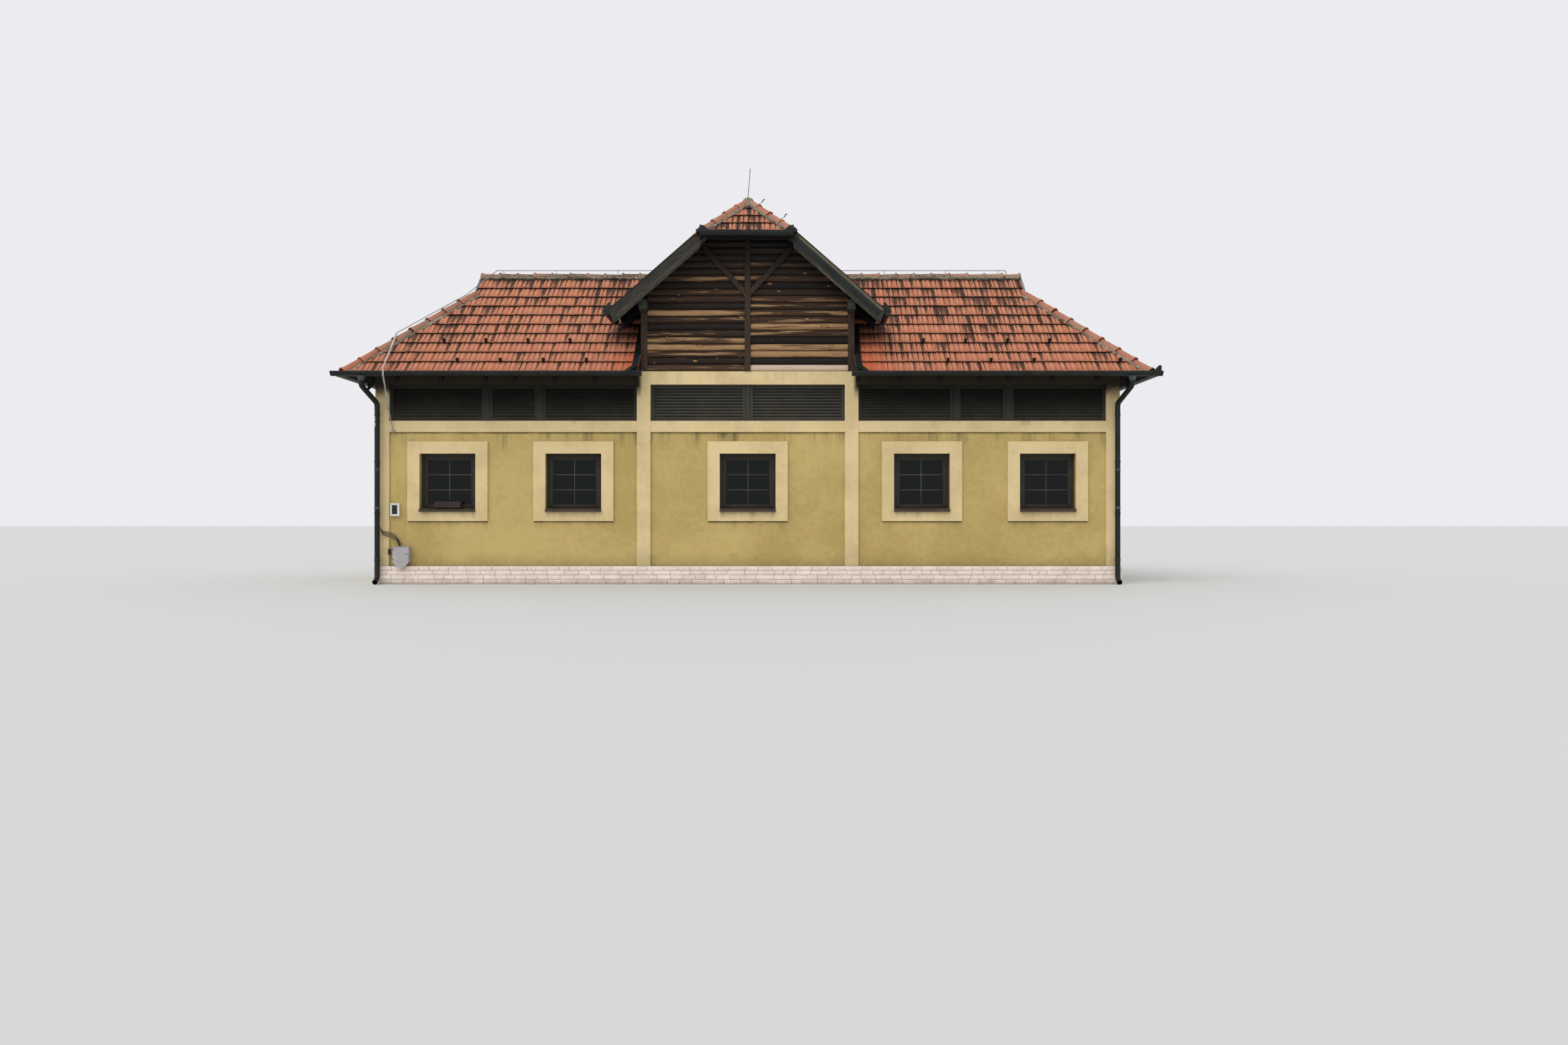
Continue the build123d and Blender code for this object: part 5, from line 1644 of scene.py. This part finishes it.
@dataclass
class MetalTrim:
    """Rims, straps and end plates of the gutters, joints of the pipes, and the flashings of the gable."""

    lines: RoofLines
    radius: float = 0.095
    drop: float = 0.012
    cross_drop: float = 0.045
    clearance: float = 0.0003
    rim: float = 0.008
    strap_angle: float = math.radians(9)
    strap_start: float = 2.60
    strap_step: float = 0.80
    end_strap_step: float = 0.88
    pipe_x: float = 7.900
    pipe_y: float = -2.720
    pipe_radius: float = 0.055
    outlet_x: float = 8.06
    joint_heights: tuple = (3.812, 2.42, 1.607, 0.495)
    sleeves: tuple = ((0.0, 0.050, 0.003), (0.046, 0.056, 0.007))
    rim_start: float = 2.20
    cross_rim: float = 1.15
    ears: tuple = ((0.89, 0.985, 0.128, 0.142), (0.81, 0.89, 0.050, 0.128), (0.71, 0.81, 0.012, 0.050))

    @property
    def gutter_z(self) -> float:
        """Height of the eave gutters' upper edge."""
        return self.lines.eave_z - self.drop

    def straps(self, look: Material, slot: str) -> None:
        """Bend one strap round the underside of a gutter, and set it along every gutter."""
        lines = self.lines
        bm = bmesh.new()
        bm.edges.new([bm.verts.new((x, -self.radius - 0.001, 0.0)) for x in (-0.014, 0.014)])
        bmesh.ops.rotate(bm, verts=bm.verts[:], cent=(0, 0, 0), matrix=Matrix.Rotation(self.strap_angle, 3, "X"))
        spin_sheet(bm, math.pi - 2 * self.strap_angle, 10, 0.003)
        out = self.radius + self.clearance
        places = []
        for face in Face:
            turn = rotation(face.value, "Z")
            for side in Side:
                places += [turn @ shift(((self.strap_start + self.strap_step * step) * side.value,
                                         -lines.eave_y - out, self.gutter_z)) for step in range(8)]
            aside = turn @ shift((lines.eave_x + out, 0, self.gutter_z)) @ rotation(math.pi / 2, "Z")
            places += [aside @ shift((step * self.end_strap_step, 0, 0)) for step in range(-3, 4)]
        finish_copies("gutter_straps", bm, places, look, slot)

    def rims(self, look: Material, slot: str) -> None:
        """Roll the outer rims of the gutters."""
        lines = self.lines
        out = self.clearance + 2 * self.radius - self.rim
        x, y, z = lines.eave_x + out, lines.eave_y + out, self.gutter_z
        bm = bmesh.new()
        add_rod(bm, (self.rim_start, -y, z), (x, -y, z), self.rim)
        add_mirrored(bm)
        add_rod(bm, (x, -y, z), (x, y, z), self.rim)
        low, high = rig.box("cross_gutters")
        y = low[1] + self.rim
        add_rod(bm, (-lines.hip_x, y, high[2]), (lines.hip_x, y, high[2]), self.rim)
        z = lines.cross_eave_z - self.cross_drop
        for side in Side:
            x = (lines.cross_x + out) * side.value
            add_rod(bm, (x, -lines.cross_y, z), (x, self.cross_rim - lines.cross_y, z), self.rim)
        add_turned(bm)
        finish_piece("gutter_rims", bm, look, slot)

    def end_plates(self, look: Material, slot: str) -> None:
        """Upright splash plates over the ends of the cross gutters, the half-hip gutters and the front gutters."""
        lines = self.lines
        out = self.clearance + self.radius
        bm = bmesh.new()
        x, y, z = lines.cross_x + out, -lines.cross_y, lines.cross_eave_z - self.cross_drop
        for vert in add_block(bm, (x - 0.085, y - 0.004, z), (x + 0.085, y, z + 0.17)):
            if vert.co.z > z + 0.1:
                vert.co.x = lines.cross_x + 0.02 + (vert.co.x - lines.cross_x) * 0.25
        low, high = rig.box("cross_gutters")
        for inner, outer, inner_rise, outer_rise in self.ears:
            for vert in add_block(bm, (inner, low[1] + 0.05, high[2] - 0.01), (outer, low[1] + 0.056, high[2] + 0.1)):
                if vert.co.z > high[2]:
                    vert.co.z = high[2] + (inner_rise if vert.co.x < (inner + outer) / 2 else outer_rise)
        add_block(bm, (0.955, low[1] + 0.03, high[2] - 0.02), (1.06, y - 0.02, high[2] + 0.05), 0.012)
        add_mirrored(bm)
        x, y, z = lines.eave_x, -lines.eave_y - 2 * out, self.gutter_z
        for vert in add_block(bm, (x - 0.02, y, z), (x + 0.15, y + 0.004, z + 0.12)):
            if vert.co.z > z + 0.06 and vert.co.x < x + 0.06:
                vert.co.x += 0.11
        add_turned(bm)
        finish_piece("gutter_plates", bm, look, slot)

    def pipe_joints(self, look: Material, slot: str) -> None:
        """Sleeves at the joints of the pipes and the funnels under the gutters."""
        bm = bmesh.new()
        x, y = self.pipe_x, self.pipe_y
        for z in self.joint_heights:
            for start, end, wider in self.sleeves:
                add_rod(bm, (x, y, z + start), (x, y, z + end), self.pipe_radius + wider, 20)
        y = -self.lines.eave_y - self.radius - self.clearance
        top = self.gutter_z - self.radius * 0.9
        add_rod(bm, (self.outlet_x, y, top - 0.10), (self.outlet_x, y, top), self.pipe_radius + 0.003, 20, 0.088)
        add_mirrored(bm)
        add_turned(bm)
        finish_piece("pipe_joints", bm, look, slot)

    def cheek_flashings(self, look: Material, slot: str) -> None:
        """Sheet upstands where the main roof meets the sides of the gable, flared at their foot."""
        lines = self.lines
        turn = shift((lines.cheek_x, -lines.eave_y, lines.eave_z)) @ rotation(math.atan(lines.main_slope), "X")
        bm = bmesh.new()
        flare = rotation(0.6, "Z") @ rotation(0.25, "Y")
        for size, middle, lean in (((0.135, 1.90, 0.004), (0.068, 0.95, 0.034), Matrix()),
                                   ((0.006, 1.30, 0.120), (0.004, 1.25, 0.085), Matrix()),
                                   ((0.150, 0.26, 0.004), (0.150, 0.06, 0.050), flare),
                                   ((0.050, 0.10, 0.006), (0.02, 0.06, 0.055), rotation(0.4, "Z"))):
            add_box(bm, size, turn @ shift(middle) @ lean, 0.001)
        add_mirrored(bm)
        add_turned(bm)
        finish_piece("cheek_flashings", bm, look, slot)

    def build(self, paint: Material, zinc: Material, slot: str) -> None:
        """Build all of the metal trim."""
        self.straps(paint, slot)
        self.rims(paint, slot)
        self.end_plates(paint, slot)
        self.pipe_joints(zinc, slot)
        self.cheek_flashings(paint, slot)


@dataclass
class VergeTrim:
    """Laths and profiles on the barge boards, and bolts in the purlin ends."""

    lines: RoofLines
    face_y: float = -3.125
    start_x: float = 0.985
    end_x: float = 2.885
    rise: float = 0.015
    bolt_inset: float = 0.083

    def add_strip(self, bm: BMesh, depth: float, width: float, proud: float,
                  span: Optional[tuple[float, float]] = None) -> None:
        """Add a lath along the right verge.

        Args:
            bm: The mesh that gets it.
            depth: How far its middle is below the board's upper edge, square to it.
            width: How wide it is.
            proud: How far it stands out from the board.
            span: Where it starts and ends, out from the middle; the whole verge if it isn't given.
        """
        lines = self.lines
        pitch = math.atan(lines.cross_slope)
        start_x, end_x = span or (self.start_x, self.end_x)
        middle_x = (start_x + end_x) / 2
        top_z = lines.cross_ridge_z - middle_x * lines.cross_slope + self.rise
        place = shift((middle_x, self.face_y - proud / 2, top_z)) @ rotation(pitch, "Y") @ shift((0, 0, -depth))
        add_box(bm, ((end_x - start_x) / math.cos(pitch) - 0.02, proud, width), place, 0.002)

    def build(self, palette: dict[str, Material], wood_slot: str, metal_slot: str) -> None:
        """Build the trim of both slopes, at the front and the back."""
        for name, finish, slot, side, strips in (
            ("verge_laths_left", "tan lath", wood_slot, Side.LEFT, ((0.196, 0.012, 0.005), (0.236, 0.010, 0.007))),
            ("verge_board_right", "pale board", wood_slot, Side.RIGHT,
             ((0.040, 0.062, 0.006), (0.268, 0.022, 0.006, (1.66, 2.26)))),
            ("verge_profile_right", "green gutter paint", metal_slot, Side.RIGHT,
             ((0.112, 0.078, 0.007), (0.150, 0.012, 0.009), (0.076, 0.010, 0.009), (0.186, 0.050, 0.004))),
        ):
            bm = bmesh.new()
            for strip in strips:
                self.add_strip(bm, *strip)
            if side is Side.LEFT:
                mirror(bm, bm.verts[:], bm.faces[:])
            add_turned(bm)
            finish_piece(name, bm, palette[finish], slot)
        bm = bmesh.new()
        low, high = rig.box("cross_purlins")
        x, z = high[0] - self.bolt_inset, (low[2] + high[2]) / 2
        add_rod(bm, (x, low[1] - 0.006, z), (x, low[1] + 0.01, z), 0.018, 12)
        add_turned(bm)
        finish_piece("purlin_bolts", bm, palette["tan lath"], wood_slot)


@dataclass
class WallFittings:
    """The cabinet's door, the framed box, the switch, the clamps of the wire and the back door's panels."""

    lines: RoofLines
    wall_y: float = -2.550
    door_height: float = 0.325
    box_rim: float = 0.038
    box_lip: float = 0.003
    door_stile: float = 0.11
    wire_share: float = 0.61
    holder_shares: tuple = (0.24, 0.73)
    strip_x: float = -7.567
    strip_size: tuple = (0.034, 0.017)
    clamp: tuple = (-7.687, -2.625, 3.775)
    tapes: tuple = ((3.370, 3.450, -7.924), (3.480, 3.600, -7.930), (3.630, 3.740, -7.936))
    tape_y: float = -2.772
    cable_drops: tuple = (-0.014, 0.008, 0.030)
    cable_radius: float = 0.009

    def cabinet(self, paint: Material, dark: Material, slot: str) -> None:
        """The cabinet's door with a seam, a hood and a lock."""
        (x0, y, _), (x1, _, top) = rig.box("meter_cabinet")
        bottom = top - self.door_height
        bm = bmesh.new()
        for inset, front, back in ((0.012, 0.004, 0.0), (0.034, 0.006, 0.003)):
            add_plates(bm, (y - front, y - back), 0.002, (x0 + inset, x1 - inset, bottom + inset, top - inset))
        add_plates(bm, (y - 0.014, self.wall_y), 0.003, (x0 - 0.006, x1 + 0.006, top, top + 0.010))
        finish_piece("cabinet_door", bm, paint, slot)
        bm = bmesh.new()
        lock = (x1 - 0.05, bottom + 0.17)
        add_rod(bm, (lock[0], y - 0.006, lock[1]), (lock[0], y - 0.014, lock[1]), 0.011, 14)
        for z in (bottom + 0.06, top - 0.06):
            add_rod(bm, (x0 + 0.014, y - 0.007, z - 0.02), (x0 + 0.014, y - 0.007, z + 0.02), 0.006)
        finish_piece("cabinet_lock", bm, dark, slot)

    def box(self, paint: Material, dark: Material, slot: str) -> None:
        """The white frame of the small box and its dark glass."""
        (x0, y, z0), (x1, _, z1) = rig.box("wall_box")
        lip, rim = self.box_lip, self.box_rim
        inner = (x0 + rim, x1 - rim, z0 + rim, z1 - rim)
        bm = bmesh.new()
        add_frame(bm, (x0 - lip, x1 + lip, z0 - lip, z1 + lip), inner, (y - 0.012, y), 0.003)
        finish_piece("box_frame", bm, paint, slot)
        bm = bmesh.new()
        add_plates(bm, (y - 0.004, y), 0.001, inner)
        finish_piece("box_glass", bm, dark, slot)

    def switch_and_cable(self, dark: Material, slot: str) -> None:
        """The small dark switch, and the cables that run fixed from the pipe to the cabinet."""
        bm = bmesh.new()
        add_block(bm, (-7.70, -2.632, 0.636), (-7.645, self.wall_y - 0.05, 0.755), 0.006)
        finish_piece("small_switch", bm, dark, slot)
        cabinet_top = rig.box("meter_cabinet")[1][2]
        curve = bpy.data.curves.new("fixed_cables", "CURVE")
        curve.dimensions = "3D"
        curve.bevel_depth = self.cable_radius
        curve.bevel_resolution = 2
        curve.resolution_u = 6
        for aside in self.cable_drops:
            spline = curve.splines.new("NURBS")
            route = ((-7.838, -2.70, 1.22), (-7.838, -2.66, 1.10 + aside), (-7.72, -2.63, 1.06 + aside * 2),
                     (-7.56, -2.63, 1.00 + aside * 2), (-7.47 + aside, -2.63, 0.92),
                     (-7.45 + aside, -2.64, cabinet_top))
            spline.points.add(len(route) - 1)
            for point, place in zip(spline.points, route):
                point.co = (*place, 1.0)
            spline.use_endpoint_u = True
            spline.order_u = 3
        curve.materials.append(dark)
        cables = linked("fixed_cables", curve)
        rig.ride(cables, BODY)
        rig.slot(cables, slot)

    @staticmethod
    def add_band(bm: BMesh, start: Vector, end: Vector, width: float, thickness: float) -> None:
        """Add a flat band between two points, its broad side to the front."""
        along = (end - start).normalized()
        outward = Vector((0, -1, 0))
        outward = (outward - along * outward.dot(along)).normalized()
        frame = frame_of((start + end) / 2, along, outward.cross(along), outward)
        add_box(bm, ((end - start).length + width / 3, width, thickness), frame, thickness / 4)

    def wire_strip(self, steel: Material, slot: str) -> None:
        """The flat pale strip round the wire from the hip to the clamp on the wall, and tape on the pipe beside it."""
        lines = self.lines
        gablet = Vector((-lines.gablet_x, -lines.gablet_y, lines.gablet_z))
        hip = gablet.lerp(Vector((-lines.eave_x, -lines.eave_y, lines.eave_z)), self.wire_share)
        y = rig.box("lightning_wire")[0][1] + 0.009
        points = [hip + Vector((0, 0, 0.150)), Vector((self.strip_x, y, lines.eave_z + 0.060)),
                  Vector((self.strip_x, y, lines.eave_z - 0.090)), Vector(self.clamp)]
        bm = bmesh.new()
        for start, end in zip(points, points[1:]):
            self.add_band(bm, start, end, *self.strip_size)
        for low, high, x in self.tapes:
            self.add_band(bm, Vector((x, self.tape_y, low)), Vector((x - 0.006, self.tape_y, high)), 0.018, 0.006)
        add_turned(bm)
        finish_piece("wire_strip", bm, steel, slot)

    def hip_holders(self, steel: Material, dark: Material, slot: str) -> None:
        """Two bent holders on the right half hip: pale arms with dark hooked tips."""
        lines = self.lines
        arms, tips = bmesh.new(), bmesh.new()
        apex = Vector((0.0, -lines.hip_apex_y, lines.cross_ridge_z))
        for share in self.holder_shares:
            foot = apex.lerp(Vector((lines.hip_x, -lines.cross_y, lines.hip_z)), share) + Vector((0, 0, 0.055))
            knee = foot + Vector((0.075, -0.02, 0.050))
            bend = knee + Vector((0.022, 0.0, 0.055))
            add_rod(arms, foot - Vector((0.10, 0.0, 0.03)), knee, 0.010)
            add_rod(tips, knee, bend, 0.011)
            add_rod(tips, bend, bend + Vector((0.035, 0.0, 0.008)), 0.011)
        for name, bm, look in (("holder_arms", arms, steel), ("holder_tips", tips, dark)):
            add_turned(bm)
            finish_piece(name, bm, look, slot)

    def wire_clamps(self, steel: Material, slot: str) -> None:
        """Clamps that hold the lightning wire to the pilaster and the gutter."""
        bm = bmesh.new()
        add_block(bm, (-7.715, -2.648, 3.745), (-7.660, -2.600, 3.805), 0.004)
        x, y, z = self.clamp
        add_rod(bm, (x, y - 0.035, z), (x, y + 0.025, z), 0.010)
        add_block(bm, (-7.625, -2.640, 3.245), (-7.560, -2.590, 3.300), 0.004)
        add_turned(bm)
        finish_piece("wire_clamps", bm, steel, slot)

    def door_panels(self, wood: Material, steel: Material, slot: str) -> None:
        """Raised rails and a handle on the back door's outer face."""
        (x0, _, z0), (x1, y, z1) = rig.box("back_door")
        stile = self.door_stile
        bm = bmesh.new()
        add_plates(bm, (y, y + 0.012), 0.003, *((start, end, z0 + 0.01, z1 - 0.004) for start, end in (
            (x0 + 0.004, x0 + stile), (x1 - stile, x1 - 0.004), (-0.045, 0.045))))
        add_plates(bm, (y, y + 0.010), 0.003, *((x0 + stile, x1 - stile, z - 0.07, z + 0.07) for z in (
            z0 + 0.11, z0 + 1.0, z1 - 0.08)))
        finish_piece("door_panels", bm, wood, slot)
        bm = bmesh.new()
        x, z = x1 - 0.06, z0 + 1.05
        add_plates(bm, (y + 0.0115, y + 0.016), 0.002, (x - 0.022, x + 0.022, z - 0.12, z + 0.06))
        add_rod(bm, (x, y + 0.012, z), (x, y + 0.055, z), 0.009, 12)
        add_rod(bm, (x + 0.006, y + 0.055, z), (x - 0.11, y + 0.055, z), 0.009, 12)
        finish_piece("door_handle", bm, steel, slot)

    def build(self, palette: dict[str, Material]) -> None:
        """Build every fitting."""
        dark = palette["dark fitting"]
        self.cabinet(palette["grey cabinet paint"], dark, "cabinet_grey")
        self.box(palette["white box paint"], dark, "box_white")
        self.switch_and_cable(dark, "gutter_metal")
        self.wire_clamps(palette["dull steel"], "steel_wire")
        self.wire_strip(palette["pale strip"], "steel_wire")
        self.hip_holders(palette["pale strip"], dark, "steel_wire")
        self.door_panels(palette["window stain"], palette["dull steel"], "window_wood")


@dataclass
class Studio:
    """Pale floor, backdrop, soft light and the camera of the photograph."""

    image_width: float = 2353.0
    focal_pixels: float = 1750.0
    sensor: float = 36.0
    camera_place: tuple = (0.78, -27.6, 1.32)
    floor_reach: float = 400.0
    floor_color: tuple = srgb(214, 214, 212)
    sky_color: tuple = srgb(236, 236, 240)
    sky_tint: tuple = (0.95, 0.98, 1.0, 1.0)
    sky_light: float = 0.78
    key_light: float = 1.15
    key_color: tuple = (1.0, 0.98, 0.95)
    key_spread: float = math.radians(50)
    key_turn: tuple = (math.radians(42), math.radians(-12), math.radians(-18))
    sight: float = 1000.0

    def build(self) -> None:
        """Build the whole studio."""
        self._floor()
        self._world()
        self._lamp()
        self._camera()
        bpy.context.scene.view_settings.view_transform = "Standard"

    def _floor(self) -> None:
        """A plain floor at the level of the ground."""
        bm = bmesh.new()
        bmesh.ops.create_grid(bm, x_segments=1, y_segments=1, size=self.floor_reach)
        material = bpy.data.materials.new("pale floor")
        material.use_nodes = True
        feed(material.node_tree.nodes["Principled BSDF"], {"Base Color": self.floor_color, "Roughness": 0.9})
        mesh = mesh_of("floor", bm)
        wear(mesh, material)
        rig.stage(linked("floor", mesh))

    def _world(self) -> None:
        """An even sky that lights the object and shows pale to the camera."""
        world = bpy.data.worlds.new("studio sky")
        bpy.context.scene.world = world
        world.use_nodes = True
        tree = world.node_tree
        tree.nodes.clear()
        rays = Outputs(put(tree, "ShaderNodeLightPath"))
        seen = strongest(rays["Is Camera Ray"], rays["Is Transmission Ray"], rays["Is Glossy Ray"])
        light = put(tree, "ShaderNodeBackground", {"Color": self.sky_tint, "Strength": self.sky_light})
        plain = put(tree, "ShaderNodeBackground", {"Color": self.sky_color, "Strength": 1.0})
        mix = put(tree, "ShaderNodeMixShader", {0: seen, 1: light.outputs[0], 2: plain.outputs[0]})
        put(tree, "ShaderNodeOutputWorld", {"Surface": mix.outputs[0]})

    def _lamp(self) -> None:
        """One broad soft sun from the upper left of the front."""
        lamp = bpy.data.lights.new("soft sun", "SUN")
        lamp.energy = self.key_light
        lamp.angle = self.key_spread
        lamp.color = self.key_color
        linked("soft sun", lamp).rotation_euler = self.key_turn

    def _camera(self) -> None:
        """The camera where the photograph was taken, level and square to the facade."""
        data = bpy.data.cameras.new("camera")
        data.sensor_width = self.sensor
        data.lens = self.sensor * self.focal_pixels / self.image_width
        data.clip_end = self.sight
        camera = linked("camera", data)
        camera.location = self.camera_place
        camera.rotation_euler = (math.pi / 2, 0.0, 0.0)
        bpy.context.scene.camera = camera


@dataclass
class Palette:
    """Every finish of the building as a ready material."""

    verge_pitch: float = math.radians(41.2)

    def finishes(self) -> list[Finish]:
        """List the finishes."""
        slope = (math.cos(self.verge_pitch), 0.0, -math.sin(self.verge_pitch))
        return [
            WallRender("scraped render"),
            CreamPlaster("cream plaster"),
            ClayTile("clay tile"),
            ClayTile("clay ridge tile", fresh=srgb(192, 126, 100), faded=srgb(168, 142, 120),
                     red=srgb(202, 112, 74), lichen=srgb(88, 84, 72),
                     laid=False, high_rows=6.9),
            Timber("log siding", course=0.148, knot_size=0.085, top_shade=0.88),
            Timber("post timber", along=(0.0, 0.0, 1.0), bare_low=0.60, bare_high=0.78,
                   stain_dark=srgb(36, 29, 23), stain_brown=srgb(74, 57, 42), top_shade=0.85),
            # Near-black stain: partly the timber's own dark stain, partly painted shade under the eaves and behind the
            # louvres
            Timber("rafter timber", along=(0.0, 1.0, 0.0), bare_low=0.90, bare_high=0.98,
                   stain_dark=srgb(9, 8, 6), stain_brown=srgb(20, 17, 14), knot_size=0.03),
            Timber("barge timber", along=slope, mirrored=True, stain_dark=srgb(18, 18, 16),
                   stain_brown=srgb(68, 66, 57), bare=srgb(140, 122, 100), bare_low=0.60, bare_high=0.78,
                   knot_size=0.02),
            Timber("tan lath", along=slope, mirrored=True, stain_dark=srgb(84, 76, 66),
                   stain_brown=srgb(116, 104, 90), bare=srgb(142, 126, 108), knot_size=0.02),
            Timber("pale board", along=slope, mirrored=True, stain_dark=srgb(76, 68, 57),
                   stain_brown=srgb(110, 97, 82), bare=srgb(150, 130, 110), knot_size=0.02),
            SheetMetal("green gutter paint"),
            SheetMetal("weathered zinc", paint=srgb(138, 150, 160), worn=srgb(98, 108, 116),
                       gloss=0.5, metal=0.2),
            SheetMetal("pipe joint zinc", paint=srgb(70, 78, 80), worn=srgb(50, 56, 58), gloss=0.5),
            SheetMetal("pale strip", paint=srgb(206, 196, 194), worn=srgb(160, 160, 160), gloss=0.5),
            SheetMetal("dull steel", paint=srgb(168, 168, 164), worn=srgb(128, 128, 124), metal=0.6),
            SheetMetal("grey cabinet paint", paint=srgb(184, 179, 180), worn=srgb(166, 162, 166)),
            SheetMetal("white box paint", paint=srgb(228, 228, 224), worn=srgb(206, 206, 200)),
            SheetMetal("planter plastic", paint=srgb(44, 34, 29), worn=srgb(60, 47, 40),
                       gloss=0.6),
            SheetMetal("dark fitting", paint=srgb(30, 30, 32), worn=srgb(46, 46, 48), gloss=0.3,
                       dusty=0.12),
            SheetMetal("glazing bar paint", paint=srgb(112, 112, 106), worn=srgb(84, 84, 78),
                       gloss=0.5),
            PaintedWood("window stain"),
            PaintedWood("sill paint", paint=srgb(58, 48, 41), worn=srgb(82, 66, 55)),
            PaintedWood("louvre paint", paint=srgb(56, 54, 46), worn=srgb(74, 71, 61),
                        fibre_scale=(1.0, 1.0, 14.0), gloss=0.62, shaded=0.88),
            WindowGlass("window glass"),
            PaintedStone("painted stone"),
            Mortar("cement mortar"),
            Mortar("plinth joints", pale=srgb(216, 200, 188), dark=srgb(188, 172, 160),
                   moss=srgb(170, 154, 140)),
            Mortar("floor screed", pale=srgb(170, 166, 158), dark=srgb(140, 136, 128),
                   moss=srgb(120, 116, 108)),
        ]

    def build(self) -> dict[str, Material]:
        """Build every material and return them by name."""
        kit = ShaderKit()
        return {finish.name: finish.material(kit) for finish in self.finishes()}


NODE_FINISHES = {
    "scraped render": ("front_wall_left", "front_wall_middle", "front_wall_right", "back_wall_left",
                       "back_wall_beside_door", "back_wall_over_door", "back_wall_right", "end_walls"),
    "cream plaster": ("upper_posts", "ring_beam", "pilasters", "bands", "surrounds"),
    "painted stone": ("plinth", "back_steps"),
    "floor screed": ("floor_slab",),
    "window stain": ("window_frames", "window_sashes", "back_door_frame", "back_door"),
    "sill paint": ("window_sills",),
    "window glass": ("window_panes",),
    "louvre paint": ("louvre_panels", "louvre_posts"),
    "rafter timber": ("roof_front", "roof_back", "roof_ends", "cross_roof", "half_hips", "wall_plates",
                      "rafters", "cross_rafters", "gablet_walls", "half_hip_boards"),
    "clay ridge tile": ("ridge_covers", "hip_covers"),
    "weathered zinc": ("gablet_verges",),
    "post timber": ("gable_posts", "gable_braces"),
    "log siding": ("gable_siding", "cheek_walls"),
    "barge timber": ("barge_boards", "cross_purlins"),
    "green gutter paint": ("verge_flashings", "eave_gutters", "cross_gutters", "downpipes", "pipe_brackets"),
    "dull steel": ("lightning_rod", "lightning_wire", "wire_holders"),
    "grey cabinet paint": ("meter_cabinet",),
    "white box paint": ("wall_box",),
    "planter plastic": ("planter",),
}


def dress_nodes(nodes: dict, palette: dict[str, Material]) -> None:
    """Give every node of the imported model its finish.

    Args:
        nodes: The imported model's objects by node name.
        palette: The ready materials.
    """
    for finish, names in NODE_FINISHES.items():
        for name in names:
            wear(nodes[name].data, palette[finish])
    LOG.info("dressed %d nodes", len(nodes))


def box_of_all() -> list:
    """The whole object's box as plain lists of numbers."""
    return [list(map(float, corner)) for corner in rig.bounds()]


def main() -> None:
    """Build and dress the station building."""
    logging.basicConfig(level=logging.INFO, format="%(name)s %(message)s")
    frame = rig.load()
    cad_box = box_of_all()
    palette = Palette().build()
    dress_nodes(frame["nodes"], palette)
    lines = RoofLines.read()
    TiledRoofs(lines).build(palette["clay tile"], palette["rafter timber"], "roof_tile")
    CoverTiles(lines).build(palette["clay ridge tile"], palette["cement mortar"], "roof_tile")
    SnowHooks(lines).build(palette["green gutter paint"], "gutter_metal")
    Louvres().build(palette["louvre paint"], palette["rafter timber"], "louvre_wood")
    PlinthStones().build(palette["painted stone"], palette["plinth joints"], "plinth_stone")
    WindowTrim().build(palette["glazing bar paint"], palette["window stain"], "window_wood")
    MetalTrim(lines).build(palette["green gutter paint"], palette["pipe joint zinc"], "gutter_metal")
    VergeTrim(lines).build(palette, "timber_grey", "gutter_metal")
    WallFittings(lines).build(palette)
    Studio().build()
    with open(SIZE_FILE, "w") as handle:
        json.dump({"cad": cad_box, "visual": box_of_all()}, handle)


if __name__ == "__main__":
    main()
